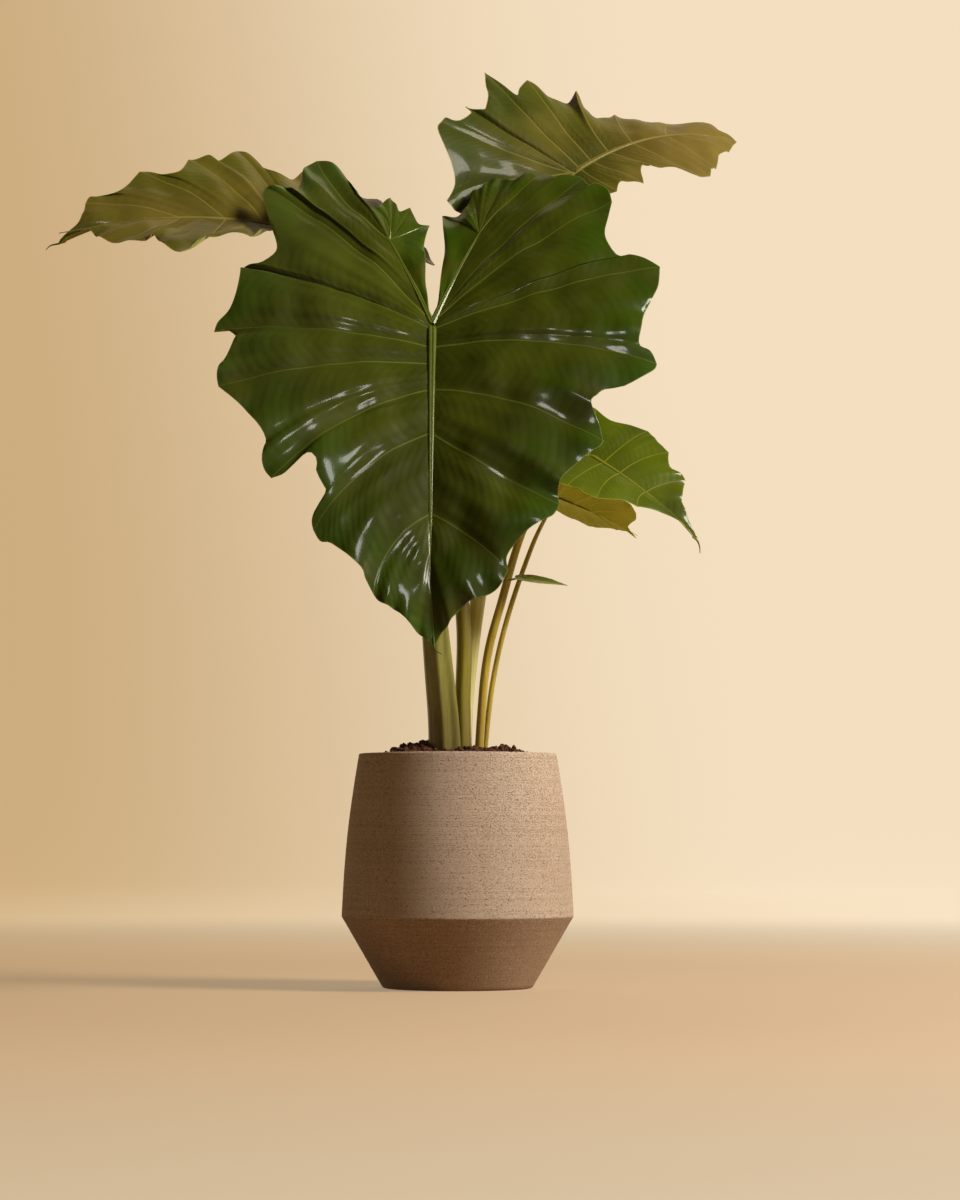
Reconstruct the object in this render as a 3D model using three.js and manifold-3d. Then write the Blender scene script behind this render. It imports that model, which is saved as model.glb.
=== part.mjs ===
// Potted alocasia portodora: a turned stoneware pot full of soil, five large leaves on long
// stalks and one young leaf. Millimetres, +Z up. The origin is the middle of the pot's foot,
// and the biggest leaf hangs toward -Y.
import * as THREE from 'three';
import Module from 'manifold-3d';

const wasm = await Module();
wasm.setup();

// Driving dimensions of the pot and the soil
const POT_HEIGHT = 282;
const RIM_RADIUS = 119.5;
const SHOULDER_RADIUS = 140;
const SHOULDER_HEIGHT = 86;
const FOOT_RADIUS = 90;
const WALL = 9;
const FLOOR = 14;
const BELLY = 3.6;
const POT_SIDES = 56;
const SOIL_GAP = 0.5;
const SOIL_EDGE_HEIGHT = 274;
const SOIL_MOUND = 22;
const CRUMB_HEIGHT = 5;
const SOIL_SIDES = 40;
const SOIL_RINGS = 9;
const SOIL_WALL_TOP = 262;
const SOIL_RIM_HEIGHT = 268;
const INSIDE_BELLY_HEIGHT = 200;
const OUTSIDE_HEIGHTS = [130, 180, 230];
const LIP_CHAMFER = 2;
const HOLE_CLEARANCE = 1.2;
const STALK_FOOT_HEIGHT = 255;
const HOLE_DEPTH_BELOW_STALK = 0.5;

// Driving dimensions of the leaves
const BLADE_THICKNESS = 1.2;
const SEAT_GAP = 0.3;
const RIB_SPANS = 8;
const RIB_SUNK = 0.45;
const RIB_TIP_RADIUS = 1.1;

const COLOUR = {
  stoneware: 0xb89f82,
  soil: 0x3a2418,
  frontBlade: 0x24440f,
  leftBlade: 0x4f5a24,
  topBlade: 0x4a5c22,
  rightBlade: 0x66751c,
  lowBlade: 0x8f8428,
  youngBlade: 0x6d8a34,
  darkStalk: 0x4c4d22,
  paleStalk: 0x7c8040,
};

const root = new THREE.Group();
root.name = 'potted_alocasia';

function addPiece(name, geometry, colour, roughness) {
  const material = new THREE.MeshStandardMaterial({ color: colour, roughness, metalness: 0 });
  const mesh = new THREE.Mesh(geometry, material);
  mesh.name = name;
  root.add(mesh);
}

// Small helpers for numbers, vectors and solids
const radians = THREE.MathUtils.degToRad;
const mix = (a, b, t) => a * (1 - t) + b * t;
const mixPoint = (p, q, t) => p.map((value, i) => mix(value, q[i], t));

function seededRandom(seed) {
  let state = seed;
  return () => {
    state = (state * 1664525 + 1013904223) % 4294967296;
    return state / 4294967296;
  };
}

function geometryOf(points, triangles) {
  const geometry = new THREE.BufferGeometry();
  const flat = points.flatMap((p) => [p.x, p.y, p.z]);
  geometry.setAttribute('position', new THREE.Float32BufferAttribute(flat, 3));
  geometry.setIndex(triangles);
  geometry.computeVertexNormals();
  return geometry;
}

function solidOf(geometry) {
  const vertProperties = new Float32Array(geometry.attributes.position.array);
  const triVerts = new Uint32Array(geometry.index.array);
  return new wasm.Manifold(new wasm.Mesh({ numProp: 3, vertProperties, triVerts }));
}

// Joining thin curved sheets can leave a stray sliver, so only the biggest body is kept
function geometryOfSolid(solid) {
  const bodies = solid.decompose();
  const mesh = bodies.reduce((a, b) => (b.volume() > a.volume() ? b : a)).getMesh();
  const geometry = new THREE.BufferGeometry();
  geometry.setAttribute('position', new THREE.BufferAttribute(mesh.vertProperties, 3));
  geometry.setIndex(new THREE.BufferAttribute(mesh.triVerts, 1));
  geometry.computeVertexNormals();
  return geometry;
}

// A closed surface of rings, with one point at each end: the pot, the soil and every stalk
function ringSolid(rings, firstPoint, lastPoint) {
  const sides = rings[0].length;
  const points = [firstPoint, ...rings.flat(), lastPoint];
  const last = points.length - 1;
  const triangles = [];
  for (let k = 0; k < sides; k += 1) {
    const next = (k + 1) % sides;
    triangles.push(0, 1 + next, 1 + k);
    for (let i = 0; i < rings.length - 1; i += 1) {
      const a = 1 + i * sides;
      const b = a + sides;
      triangles.push(a + k, a + next, b + next, a + k, b + next, b + k);
    }
    const top = 1 + (rings.length - 1) * sides;
    triangles.push(top + k, top + next, last);
  }
  return geometryOf(points, triangles);
}

// Pot: foot, tapered band, crisp shoulder, slightly bellied wall that leans in to the rim
function outerRadius(height) {
  if (height <= SHOULDER_HEIGHT) {
    return mix(FOOT_RADIUS, SHOULDER_RADIUS, height / SHOULDER_HEIGHT);
  }
  const t = (height - SHOULDER_HEIGHT) / (POT_HEIGHT - SHOULDER_HEIGHT);
  return mix(SHOULDER_RADIUS, RIM_RADIUS, t) + BELLY * Math.sin(Math.PI * t);
}

const LIP_HEIGHT = POT_HEIGHT - 3;
const INSIDE_HEIGHTS = [FLOOR, SHOULDER_HEIGHT, INSIDE_BELLY_HEIGHT, LIP_HEIGHT];

function innerRadius(height) {
  const slot = INSIDE_HEIGHTS.findIndex((z, i) => i > 0 && height <= z);
  const [low, high] = [INSIDE_HEIGHTS[slot - 1], INSIDE_HEIGHTS[slot]];
  const t = (height - low) / (high - low);
  return mix(outerRadius(low), outerRadius(high), t) - WALL;
}

function potPiece() {
  const outside = [
    [FOOT_RADIUS - LIP_CHAMFER, 0],
    [outerRadius(LIP_CHAMFER), LIP_CHAMFER],
    [SHOULDER_RADIUS - 1.5, SHOULDER_HEIGHT - 2.5],
    [SHOULDER_RADIUS, SHOULDER_HEIGHT],
    ...OUTSIDE_HEIGHTS.map((z) => [outerRadius(z), z]),
    [outerRadius(LIP_HEIGHT), LIP_HEIGHT],
    [RIM_RADIUS - LIP_CHAMFER, POT_HEIGHT],
  ];
  const inside = [
    [RIM_RADIUS - WALL + LIP_CHAMFER, POT_HEIGHT],
    ...INSIDE_HEIGHTS.toReversed().map((z) => [innerRadius(z), z]),
  ];
  const profile = [[0, 0], ...outside, ...inside, [0, FLOOR]];
  const points = profile.map(([radius, z]) => new THREE.Vector2(radius, z));
  return new THREE.LatheGeometry(points, POT_SIDES).rotateX(Math.PI / 2);
}

function ringAt(radius, z, sides) {
  return Array.from({ length: sides }, (_, k) => {
    const angle = (2 * Math.PI * k) / sides;
    return new THREE.Vector3(radius * Math.cos(angle), radius * Math.sin(angle), z);
  });
}

// Soil: fills the pot, mounded round the stalks, with a crumbly top
function soilHeight(radius, random) {
  const t = radius / RIM_RADIUS;
  const mound = SOIL_MOUND * Math.pow(Math.cos((Math.PI / 2) * Math.min(1, t * 1.05)), 1.3);
  const crumbs = CRUMB_HEIGHT * Math.min(1, t * 4) * (2 * random() - 1);
  return SOIL_EDGE_HEIGHT + mound + crumbs;
}

function soilBody() {
  const random = seededRandom(7);
  const side = (z) => ringAt(innerRadius(z) - SOIL_GAP, z, SOIL_SIDES);
  const wallHeights = [FLOOR + SOIL_GAP, SHOULDER_HEIGHT, INSIDE_BELLY_HEIGHT, SOIL_WALL_TOP];
  const rings = wallHeights.map(side);
  const edge = innerRadius(SOIL_RIM_HEIGHT) - 1.5;
  for (let i = 0; i < SOIL_RINGS; i += 1) {
    const radius = edge * (1 - i / SOIL_RINGS);
    const ring = ringAt(radius, 0, SOIL_SIDES);
    const shift = i === 0 ? 0 : 2;
    ring.forEach((p) => {
      p.z = i === 0 ? SOIL_RIM_HEIGHT + 3 * random() : soilHeight(radius, random);
      p.x += shift * (random() - 0.5);
      p.y += shift * (random() - 0.5);
    });
    rings.push(ring);
  }
  const top = new THREE.Vector3(0, 0, SOIL_EDGE_HEIGHT + SOIL_MOUND);
  return solidOf(ringSolid(rings, new THREE.Vector3(0, 0, FLOOR + SOIL_GAP), top));
}

// A round tapered rod along a smooth curve; radii go with the curve's points
function rod(points, radii, sides, steps) {
  const stations = points.map((p) => new THREE.Vector3(...p));
  const curve = new THREE.CatmullRomCurve3(stations, false, 'centripetal');
  curve.arcLengthDivisions = 400;
  const frames = curve.computeFrenetFrames(steps, false);
  const spans = points.length - 1;
  const rings = [];
  for (let i = 0; i <= steps; i += 1) {
    const t = curve.getUtoTmapping(i / steps);
    const at = curve.getPoint(t);
    const slot = Math.min(spans - 1, Math.floor(t * spans));
    const radius = mix(radii[slot], radii[slot + 1], t * spans - slot);
    rings.push(Array.from({ length: sides }, (_, k) => {
      const angle = (2 * Math.PI * k) / sides;
      return at.clone()
        .addScaledVector(frames.normals[i], radius * Math.cos(angle))
        .addScaledVector(frames.binormals[i], radius * Math.sin(angle));
    }));
  }
  return ringSolid(rings, curve.getPoint(0), curve.getPoint(1));
}

// The form of a blade: a plane set by its heading, droop and roll, arched along the midrib and
// folded and sagging across it. side and along are measured on the blade from the point where
// the stalk meets it, along being positive toward the tip.
function bladeForm(leaf) {
  const [heading, droop, roll] = leaf.turn.map(radians);
  const forward = new THREE.Vector3(
    Math.sin(heading) * Math.cos(droop), -Math.cos(heading) * Math.cos(droop), Math.sin(droop));
  const level = new THREE.Vector3(Math.cos(heading), Math.sin(heading), 0);
  const up = new THREE.Vector3().crossVectors(level, forward);
  if (up.z < 0) up.negate();
  const across = level.clone().multiplyScalar(Math.cos(roll)).addScaledVector(up, Math.sin(roll));
  const normal = up.clone().multiplyScalar(Math.cos(roll)).addScaledVector(level, -Math.sin(roll));
  const origin = new THREE.Vector3(...leaf.joint);

  const surface = (side, along) => {
    const reach = Math.abs(side);
    const half = side < 0 ? 0 : 1;
    const perHundred = along >= 0 ? leaf.arch : leaf.back * Math.max(0, 1 - reach / leaf.ease);
    const bend = Math.max(1e-7, radians(perHundred) / 100);
    const turn = bend * along;
    const fold = radians(leaf.fold[half] + (leaf.open[half] * along) / 100);
    const sag = radians(leaf.sag[half]) / 100;
    const out = (Math.sin(fold) - Math.sin(fold - sag * reach)) / sag;
    const lift = (Math.cos(fold - sag * reach) - Math.cos(fold)) / sag;
    const localUp = normal.clone().multiplyScalar(Math.cos(turn));
    localUp.addScaledVector(forward, Math.sin(turn));
    return origin.clone()
      .addScaledVector(forward, Math.sin(turn) / bend)
      .addScaledVector(normal, -(1 - Math.cos(turn)) / bend)
      .addScaledVector(across, Math.sign(side) * out)
      .addScaledVector(localUp, lift);
  };
  const raised = (side, along, height) => {
    const du = surface(side + 1, along).sub(surface(side - 1, along));
    const dv = surface(side, along + 1).sub(surface(side, along - 1));
    const up = new THREE.Vector3().crossVectors(du, dv).normalize();
    if (up.dot(normal) < 0) up.negate();
    return surface(side, along).addScaledVector(up, height);
  };
  return { surface, raised };
}

// A smooth curve through a short list of points, for the margin between two vein ends
function smoothThrough(list, t) {
  const last = list.length - 1;
  const i = Math.min(last - 1, Math.floor(t * last));
  const f = t * last - i;
  const [p0, p1, p2, p3] = [i - 1, i, i + 1, i + 2].map((k) => list[Math.min(last, Math.max(0, k))]);
  return p1.map((value, k) => {
    const m1 = (p2[k] - p0[k]) / 2;
    const m2 = (p3[k] - p1[k]) / 2;
    const g = f * f * (3 - 2 * f);
    return value * (1 - g) + p2[k] * g + m1 * f * (1 - f) * (1 - f) - m2 * f * f * (1 - f);
  });
}

// One half of a blade is a row of veins from the tip round to the notch. Each has its root, its
// end on the margin and its bow, and the margin's own points lead up to that end.
function panelPoint(before, vein, r, a) {
  const base = mixPoint(before.root, vein.root, a);
  const margin = smoothThrough([before.end, ...vein.margin, vein.end], a);
  const bowAt = (v) => {
    const du = v.end[0] - v.root[0];
    const dv = v.end[1] - v.root[1];
    const length = Math.hypot(du, dv);
    return [(v.bow * dv * Math.sign(du)) / length, (-v.bow * Math.abs(du)) / length];
  };
  const bow = mixPoint(bowAt(before), bowAt(vein), a);
  const swell = 4 * r * (1 - r);
  const side = mix(base[0], margin[0], r) + swell * bow[0];
  const along = mix(base[1], margin[1], r) + swell * bow[1];
  return [side, along, margin[2]];
}

function bladeSheet(leaf) {
  const form = bladeForm(leaf);
  const points = [];
  const triangles = [];
  const known = new Map();
  const pointAt = (side, along, height) => {
    const key = `${Math.round(side * 1000)},${Math.round(along * 1000)}`;
    if (!known.has(key)) {
      known.set(key, points.length);
      points.push(form.raised(side, along, height));
    }
    return known.get(key);
  };
  leaf.halves.forEach((veins, half) => {
    for (let n = 1; n < veins.length; n += 1) {
      const columns = veins[n].columns;
      const grid = [];
      for (let i = 0; i <= leaf.rows; i += 1) {
        const r = i / leaf.rows;
        grid.push(Array.from({ length: columns + 1 }, (_, j) => {
          const a = j / columns;
          const [side, along, curl] = panelPoint(veins[n - 1], veins[n], r, a);
          const across = leaf.quilt * Math.sin(Math.PI * a) ** 2;
          const quilt = across * Math.pow(r, 0.8) * (1 - 0.5 * r * r);
          return pointAt(side, along, quilt + curl * r * r);
        }));
      }
      for (let i = 0; i < leaf.rows; i += 1) {
        for (let j = 0; j < columns; j += 1) {
          const [a, b, c, d] = [grid[i][j], grid[i][j + 1], grid[i + 1][j + 1], grid[i + 1][j]];
          const quad = half === 0 ? [[a, b, c], [a, c, d]] : [[a, c, b], [a, d, c]];
          quad.forEach(([p, q, s]) => {
            if (p !== q && q !== s && s !== p) triangles.push([p, q, s]);
          });
        }
      }
    }
  });
  return { form, points, triangles };
}

// Give a sheet its thickness: a copy on each side, and a wall along every open edge
function thicken(points, triangles, thickness) {
  const normals = points.map(() => new THREE.Vector3());
  triangles.forEach(([a, b, c]) => {
    const ab = points[b].clone().sub(points[a]);
    const ac = points[c].clone().sub(points[a]);
    const face = ab.cross(ac);
    [a, b, c].forEach((i) => normals[i].add(face));
  });
  normals.forEach((n) => n.normalize());
  const top = points.map((p, i) => p.clone().addScaledVector(normals[i], thickness / 2));
  const under = points.map((p, i) => p.clone().addScaledVector(normals[i], -thickness / 2));
  const count = points.length;
  const edges = new Set(triangles.flatMap(([a, b, c]) => [`${a},${b}`, `${b},${c}`, `${c},${a}`]));
  const faces = triangles.flatMap(([a, b, c]) => [a, b, c, count + a, count + c, count + b]);
  triangles.forEach(([a, b, c]) => {
    [[a, b], [b, c], [c, a]].forEach(([p, q]) => {
      if (!edges.has(`${q},${p}`)) faces.push(p, count + p, count + q, p, count + q, q);
    });
  });
  return geometryOf([...top, ...under], faces);
}

// The blade's rib is a tapered rod half sunk in the sheet, and its collar is the short rod that
// meets the stalk's flat end.
function bladePiece(leaf) {
  const { form, points, triangles } = bladeSheet(leaf);
  const sheet = solidOf(thicken(points, triangles, BLADE_THICKNESS));
  const shares = Array.from({ length: RIB_SPANS + 1 }, (_, i) => i / RIB_SPANS);
  const ribPoints = shares.map((t) => {
    const sunk = RIB_SUNK * leaf.ribRadius * (1 - t);
    return form.raised(0, leaf.ribLength * t, -sunk).toArray();
  });
  const ribRadii = shares.map((t) => mix(leaf.ribRadius, RIB_TIP_RADIUS, Math.sqrt(t)));
  const rib = rod(ribPoints, ribRadii, 6, RIB_SPANS);
  const seat = stalkSeat(leaf, SEAT_GAP);
  const start = form.surface(0, 0);
  const middle = seat.clone().lerp(start, 0.5);
  const collarRadii = [leaf.ribRadius, leaf.ribRadius, leaf.ribRadius * 0.9];
  const collar = rod([seat, middle, start].map((p) => p.toArray()), collarRadii, 10, 2);
  return geometryOfSolid(sheet.add(solidOf(rib)).add(solidOf(collar)));
}

// Where the stalk's flat end lies: below the blade, back along the stalk's last direction
function stalkSeat(leaf, gap) {
  const direction = new THREE.Vector3(...leaf.approach).normalize();
  return new THREE.Vector3(...leaf.joint).addScaledVector(direction, gap - leaf.collar);
}

function stalkPiece(leaf) {
  const end = stalkSeat(leaf, 0);
  const direction = new THREE.Vector3(...leaf.approach).normalize();
  const before = end.clone().addScaledVector(direction, -leaf.collar);
  const path = [...leaf.stalk.map((s) => s.slice(0, 3)), before.toArray(), end.toArray()];
  const radii = [...leaf.stalk.map((s) => s[3]), leaf.ribRadius, leaf.ribRadius];
  return rod(path, radii, leaf.stalkSides, leaf.stalkSteps);
}

// Veins are written as root [side, along], end [side, along, curl], bow and margin points. The
// panel before a vein has a column for each span of its margin, unless it must match the panels
// beyond the lobe's own rib.
const vein = (rootAt, end, bow = 0, margin = [], columns = margin.length + 1) => ({
  root: rootAt,
  end: end.length === 3 ? end : [...end, 0],
  bow,
  margin: margin.map((p) => (p.length === 3 ? p : [...p, 0])),
  columns,
});
const LOBE_COLUMNS = 6;

// The front leaf, the biggest
const frontForkLeft = [-54, -135];
const frontForkRight = [57, -147];
const frontLeaf = {
  joint: [-30, -110, 790],
  turn: [0, -60, 0],
  arch: 5,
  back: 11,
  ease: 520,
  fold: [12, 12],
  open: [0, 0],
  sag: [9, 9],
  rows: 6,
  quilt: 6,
  ribRadius: 5,
  ribLength: 400,
  collar: 20,
  approach: [0.04, -0.53, 0.85],
  stalk: [
    [-15, -16, STALK_FOOT_HEIGHT, 20], [-17, -20, 320, 18.5], [-25, -34, 408, 16.5],
    [-36, -52, 540, 12.5], [-38, -70, 660, 9],
  ],
  stalkSides: 12,
  stalkSteps: 14,
  halves: [
    [
      vein([0, 330], [5, 420]),
      vein([0, 259], [-66, 359], 14, [[-20, 400], [-36, 381], [-55, 371]]),
      vein([0, 155], [-135, 284], 15, [[-77, 338], [-93, 317], [-117, 299]]),
      vein([0, 96], [-185, 219], 15, [[-134, 262], [-121, 238], [-134, 198], [-158, 210]]),
      vein([0, 60], [-251, 92], 6, [[-196, 197], [-193, 174], [-213, 136], [-233, 110]]),
      vein([0, 36], [-262, 11], 5, [[-250, 68], [-236, 42], [-235, 24]]),
      vein([0, 9], [-242, -88, -8], 3, [[-250, -12], [-235, -40], [-231, -68]]),
      vein([0, 0], [-209, -224], 5, [[-206, -90], [-190, -108], [-206, -184]]),
      vein(
        frontForkLeft, [-148, -300], -14,
        [[-190, -231], [-172, -217], [-164, -242], [-163, -275]], LOBE_COLUMNS),
      vein(frontForkLeft, [-80, -206], 9, [[-130, -294], [-112, -266], [-87, -218]]),
      vein(frontForkLeft, [-55, -231], 2, [[-68, -201]]),
      vein(frontForkLeft, [-30, -213], -2, [[-43, -197]]),
      vein(frontForkLeft, [-5, -180], 0, [[-20, -176]]),
      vein([0, 0], [-1, -4], 0, [[-10, -150], [-12, -120], [-10, -88], [-8, -54], [-5, -26]]),
    ],
    [
      vein([0, 330], [5, 420]),
      vein([0, 259], [90, 332], 5, [[26, 390], [52, 366], [75, 355]]),
      vein([0, 155], [149, 254], -4, [[92, 306], [115, 283], [140, 269]]),
      vein([0, 96], [201, 172], 12, [[147, 234], [153, 220], [164, 208], [184, 190]]),
      vein([0, 36], [268, 60], 10, [[197, 149], [186, 121], [199, 104], [235, 92]]),
      vein([0, 9], [276, -93], -2, [[260, 40], [243, 34], [253, -10], [272, -58]]),
      vein([0, 0], [220, -203], 3, [[240, -107], [221, -103], [209, -138]]),
      vein([0, 0], [186, -252], 4, [[213, -233], [193, -233]]),
      vein(frontForkRight, [139, -270], 4, [[180, -260], [161, -260], [152, -253]], LOBE_COLUMNS),
      vein(frontForkRight, [89, -275], 0, [[126, -268], [113, -271], [99, -261]]),
      vein(frontForkRight, [48, -254], 0, [[66, -268]]),
      vein(frontForkRight, [10, -208], -3, [[40, -205], [34, -196]]),
      vein([0, 0], [1, -4], 0, [[13, -170], [15, -130], [14, -95], [10, -54], [6, -26]]),
    ],
  ],
};

// The leaf that reaches left and back
const leftForkFar = [-48, -105];
const leftForkNear = [30, -75];
const leftLeaf = {
  joint: [-173, 80, 928],
  turn: [-55, 9.5, -44],
  arch: 10.2,
  back: 12,
  ease: 520,
  fold: [6, 18],
  open: [0, 0],
  sag: [5, 2],
  rows: 5,
  quilt: 5,
  ribRadius: 4,
  ribLength: 300,
  collar: 18,
  approach: [-0.3, -0.15, 0.94],
  stalk: [
    [7, 8, STALK_FOOT_HEIGHT, 10], [6, 9, 340, 9.5], [5, 12, 463, 9], [-30, 34, 620, 7.5],
    [-100, 66, 775, 6],
  ],
  stalkSides: 10,
  stalkSteps: 16,
  halves: [
    [
      vein([0, 250], [0, 345, -14]),
      vein([0, 190], [-42, 298], 6, [[-8, 318], [-22, 306]]),
      vein([0, 132], [-94, 218], 8, [[-51, 290], [-54, 280], [-50, 258], [-66, 241]]),
      vein([0, 80], [-122, 148], 10, [[-96, 203], [-86, 189], [-89, 169]]),
      vein([0, 40], [-158, 72], 6, [[-131, 122], [-131, 103]]),
      vein([0, 14], [-150, -20], 4, [[-150, 54], [-122, 42], [-118, 10]]),
      vein([0, 0], [-165, -90], 0, [[-152, -45], [-146, -62]]),
      vein(leftForkFar, [-152, -190], 4, [[-156, -118], [-166, -158]], LOBE_COLUMNS),
      vein(leftForkFar, [-118, -250], 0, [[-148, -216], [-132, -226]]),
      vein(leftForkFar, [-64, -196], 0, [[-98, -236], [-86, -208]]),
      vein(leftForkFar, [-34, -160], 0, [[-48, -172]]),
      vein([0, 0], [-1, -4], 0, [[-26, -134], [-18, -102], [-11, -70], [-7, -40], [-4, -18]]),
    ],
    [
      vein([0, 250], [0, 345, -14]),
      vein([0, 190], [74, 284], 5, [[8, 318], [32, 306], [55, 301]]),
      vein([0, 132], [132, 226], 8, [[80, 254], [79, 243], [112, 240]]),
      vein([0, 80], [92, 132, 6], 4, [[110, 206], [92, 182], [84, 158, 4]]),
      vein([0, 40], [78, 52, 8], 4, [[70, 108, 8], [64, 78, 8]]),
      vein([0, 14], [88, -26, 8], 3, [[78, 26, 8], [76, 0, 8]]),
      vein([0, 0], [86, -70, 8], 0, [[86, -40, 8], [82, -54, 8]]),
      vein(leftForkNear, [72, -118, 8], 2, [[82, -84, 8], [82, -102, 8]], LOBE_COLUMNS),
      vein(leftForkNear, [50, -132], 0, [[62, -130, 4]]),
      vein(leftForkNear, [28, -118], 0, [[40, -124]]),
      vein([0, 0], [1, -4], 0, [[20, -98], [14, -74], [9, -50], [6, -30], [3, -14]]),
    ],
  ],
};

// The highest leaf, turned right and away
const topForkNear = [-30, -72];
const topForkFar = [42, -84];
const topLeaf = {
  joint: [145, 130, 1019],
  turn: [117, 35, 25],
  arch: 15,
  back: 2,
  ease: 520,
  fold: [-6, 38],
  open: [-10, -18],
  sag: [10, 0.1],
  rows: 5,
  quilt: 5,
  ribRadius: 3.8,
  ribLength: 250,
  collar: 18,
  approach: [0.25, -0.1, 0.96],
  stalk: [
    [7, 32, STALK_FOOT_HEIGHT, 10.5], [9, 32, 345, 10], [24, 34, 469, 9.5], [52, 54, 640, 7.5],
    [95, 94, 828, 6],
  ],
  stalkSides: 10,
  stalkSteps: 16,
  halves: [
    [
      vein([0, 215], [0, 288]),
      vein([0, 160], [-68, 199], 4, [[-14, 270], [-30, 252], [-38, 228]]),
      vein([0, 102], [-86, 150], 6, [[-70, 186], [-84, 174]]),
      vein([0, 62], [-60, 100], 4, [[-78, 136], [-66, 118]]),
      vein([0, 32], [-78, 50], 3, [[-52, 86], [-50, 72]]),
      vein([0, 12], [-72, 8], 2, [[-68, 34], [-62, 22]]),
      vein([0, 0], [-76, -44, -8], 2, [[-66, -8, -3], [-66, -24, -6]]),
      vein(topForkNear, [-64, -106, -18], 0, [[-74, -66, -12], [-72, -88, -16]], LOBE_COLUMNS),
      vein(topForkNear, [-44, -124, -18], 0, [[-56, -118, -18]]),
      vein(topForkNear, [-22, -104, -10], 0, [[-32, -112, -14]]),
      vein([0, 0], [-1, -4], 0, [[-15, -84, -6], [-10, -64, -3], [-7, -44], [-4, -26], [-2, -12]]),
    ],
    [
      vein([0, 215], [0, 288]),
      vein([0, 160], [60, 221, 5], 4, [[14, 278, 9], [32, 274, 16], [46, 252, 12]]),
      vein([0, 102], [90, 150, -6], 6, [[64, 196, -3], [74, 168, -8]]),
      vein([0, 62], [122, 104, 8], 8, [[86, 132, -12], [92, 114, -12], [104, 108, -4]]),
      vein([0, 32], [159, 58], 4, [[116, 92, -9], [122, 70, -6], [142, 64, -2]]),
      vein([0, 12], [184, 12], 2, [[146, 36], [135, 21], [160, 16]]),
      vein([0, 0], [150, -52, -6], 0, [[154, -14], [133, -38]]),
      vein([0, 0], [147, -112], 0, [[138, -58], [136, -84], [148, -100]]),
      vein(topForkFar, [66, -174], -5, [[143, -124], [122, -133], [98, -140], [76, -152]], LOBE_COLUMNS),
      vein(topForkFar, [38, -160], 0, [[48, -170]]),
      vein(topForkFar, [14, -124], 0, [[24, -140]]),
      vein([0, 0], [1, -4], 0, [[12, -104], [10, -80], [8, -54], [5, -30], [3, -14]]),
    ],
  ],
};

// The small light green leaf at the right
const rightLeaf = {
  joint: [160, -30, 642],
  turn: [70, -30, 35],
  arch: 12,
  back: 8,
  ease: 400,
  fold: [10, 10],
  open: [0, 0],
  sag: [8, 8],
  rows: 4,
  quilt: 3,
  ribRadius: 2.6,
  ribLength: 145,
  collar: 12,
  approach: [0.62, -0.1, 0.78],
  stalk: [
    [24, 5, STALK_FOOT_HEIGHT, 5.4], [34, 2, 387, 5.2], [54, -5, 469, 5], [80, -14, 554, 4.6],
    [112, -22, 600, 3.8],
  ],
  stalkSides: 8,
  stalkSteps: 14,
  halves: [
    [
      vein([0, 125], [0, 170, -4]),
      vein([0, 84], [-36, 92], 4, [[-6, 148], [-10, 128], [-20, 108]]),
      vein([0, 44], [-74, 54], 5, [[-42, 78], [-60, 66]]),
      vein([0, 20], [-84, 18], 3, [[-80, 40], [-80, 30]]),
      vein([0, 0], [-84, -22], 2, [[-88, 4], [-82, -8]]),
      vein([0, 0], [-66, -72], 2, [[-82, -42], [-74, -56]]),
      vein([0, 0], [-28, -84], 0, [[-52, -84], [-40, -84]]),
      vein([0, 0], [-1, -8], 0, [[-15, -62], [-6, -32]]),
    ],
    [
      vein([0, 125], [0, 170, -4]),
      vein([0, 84], [53, 107], 4, [[9, 145], [20, 126], [33, 116]]),
      vein([0, 44], [76, 66], 5, [[58, 98], [56, 80]]),
      vein([0, 20], [86, 28], 3, [[80, 50], [84, 38]]),
      vein([0, 0], [76, -40], 2, [[78, 10], [66, -14]]),
      vein([0, 0], [66, -74], 2, [[76, -54], [70, -64]]),
      vein([0, 0], [28, -86], 0, [[52, -86], [40, -86]]),
      vein([0, 0], [1, -8], 0, [[15, -62], [6, -32]]),
    ],
  ],
};

// The smallest leaf, which shows its underside
const lowLeaf = {
  joint: [123.4, 40, 598],
  turn: [75, -22, -25],
  arch: 8,
  back: 8,
  ease: 400,
  fold: [8, 8],
  open: [0, 0],
  sag: [8, 8],
  rows: 4,
  quilt: 2,
  ribRadius: 2,
  ribLength: 95,
  collar: 9,
  approach: [0.55, -0.25, 0.8],
  stalk: [
    [30, 20, STALK_FOOT_HEIGHT, 3.4], [41, 28, 360, 3.3], [60, 34, 447, 3.2], [91, 42, 538, 2.8],
  ],
  stalkSides: 8,
  stalkSteps: 12,
  halves: [
    [
      vein([0, 74], [4, 112, -3]),
      vein([0, 46], [-44, 108], 2, [[-4, 98], [-16, 101], [-30, 108]]),
      vein([0, 22], [-60, 72], 3, [[-56, 100], [-58, 86]]),
      vein([0, 0], [-58, 20], 2, [[-64, 52], [-58, 36]]),
      vein([0, 0], [-44, -36], 2, [[-58, -4], [-52, -20]]),
      vein([0, 0], [-14, -46], 0, [[-30, -46]]),
      vein([0, 0], [-1, -8], 0, [[-5, -30]]),
    ],
    [
      vein([0, 74], [4, 112, -3]),
      vein([0, 46], [24, 78], 2, [[10, 99], [15, 90], [21, 82]]),
      vein([0, 22], [50, 42], 3, [[36, 62], [46, 52]]),
      vein([0, 0], [54, 12], 2, [[56, 34], [53, 24]]),
      vein([0, 0], [42, -30], 2, [[52, -4], [46, -18]]),
      vein([0, 0], [14, -46], 0, [[30, -44]]),
      vein([0, 0], [1, -8], 0, [[5, -30]]),
    ],
  ],
};

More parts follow.
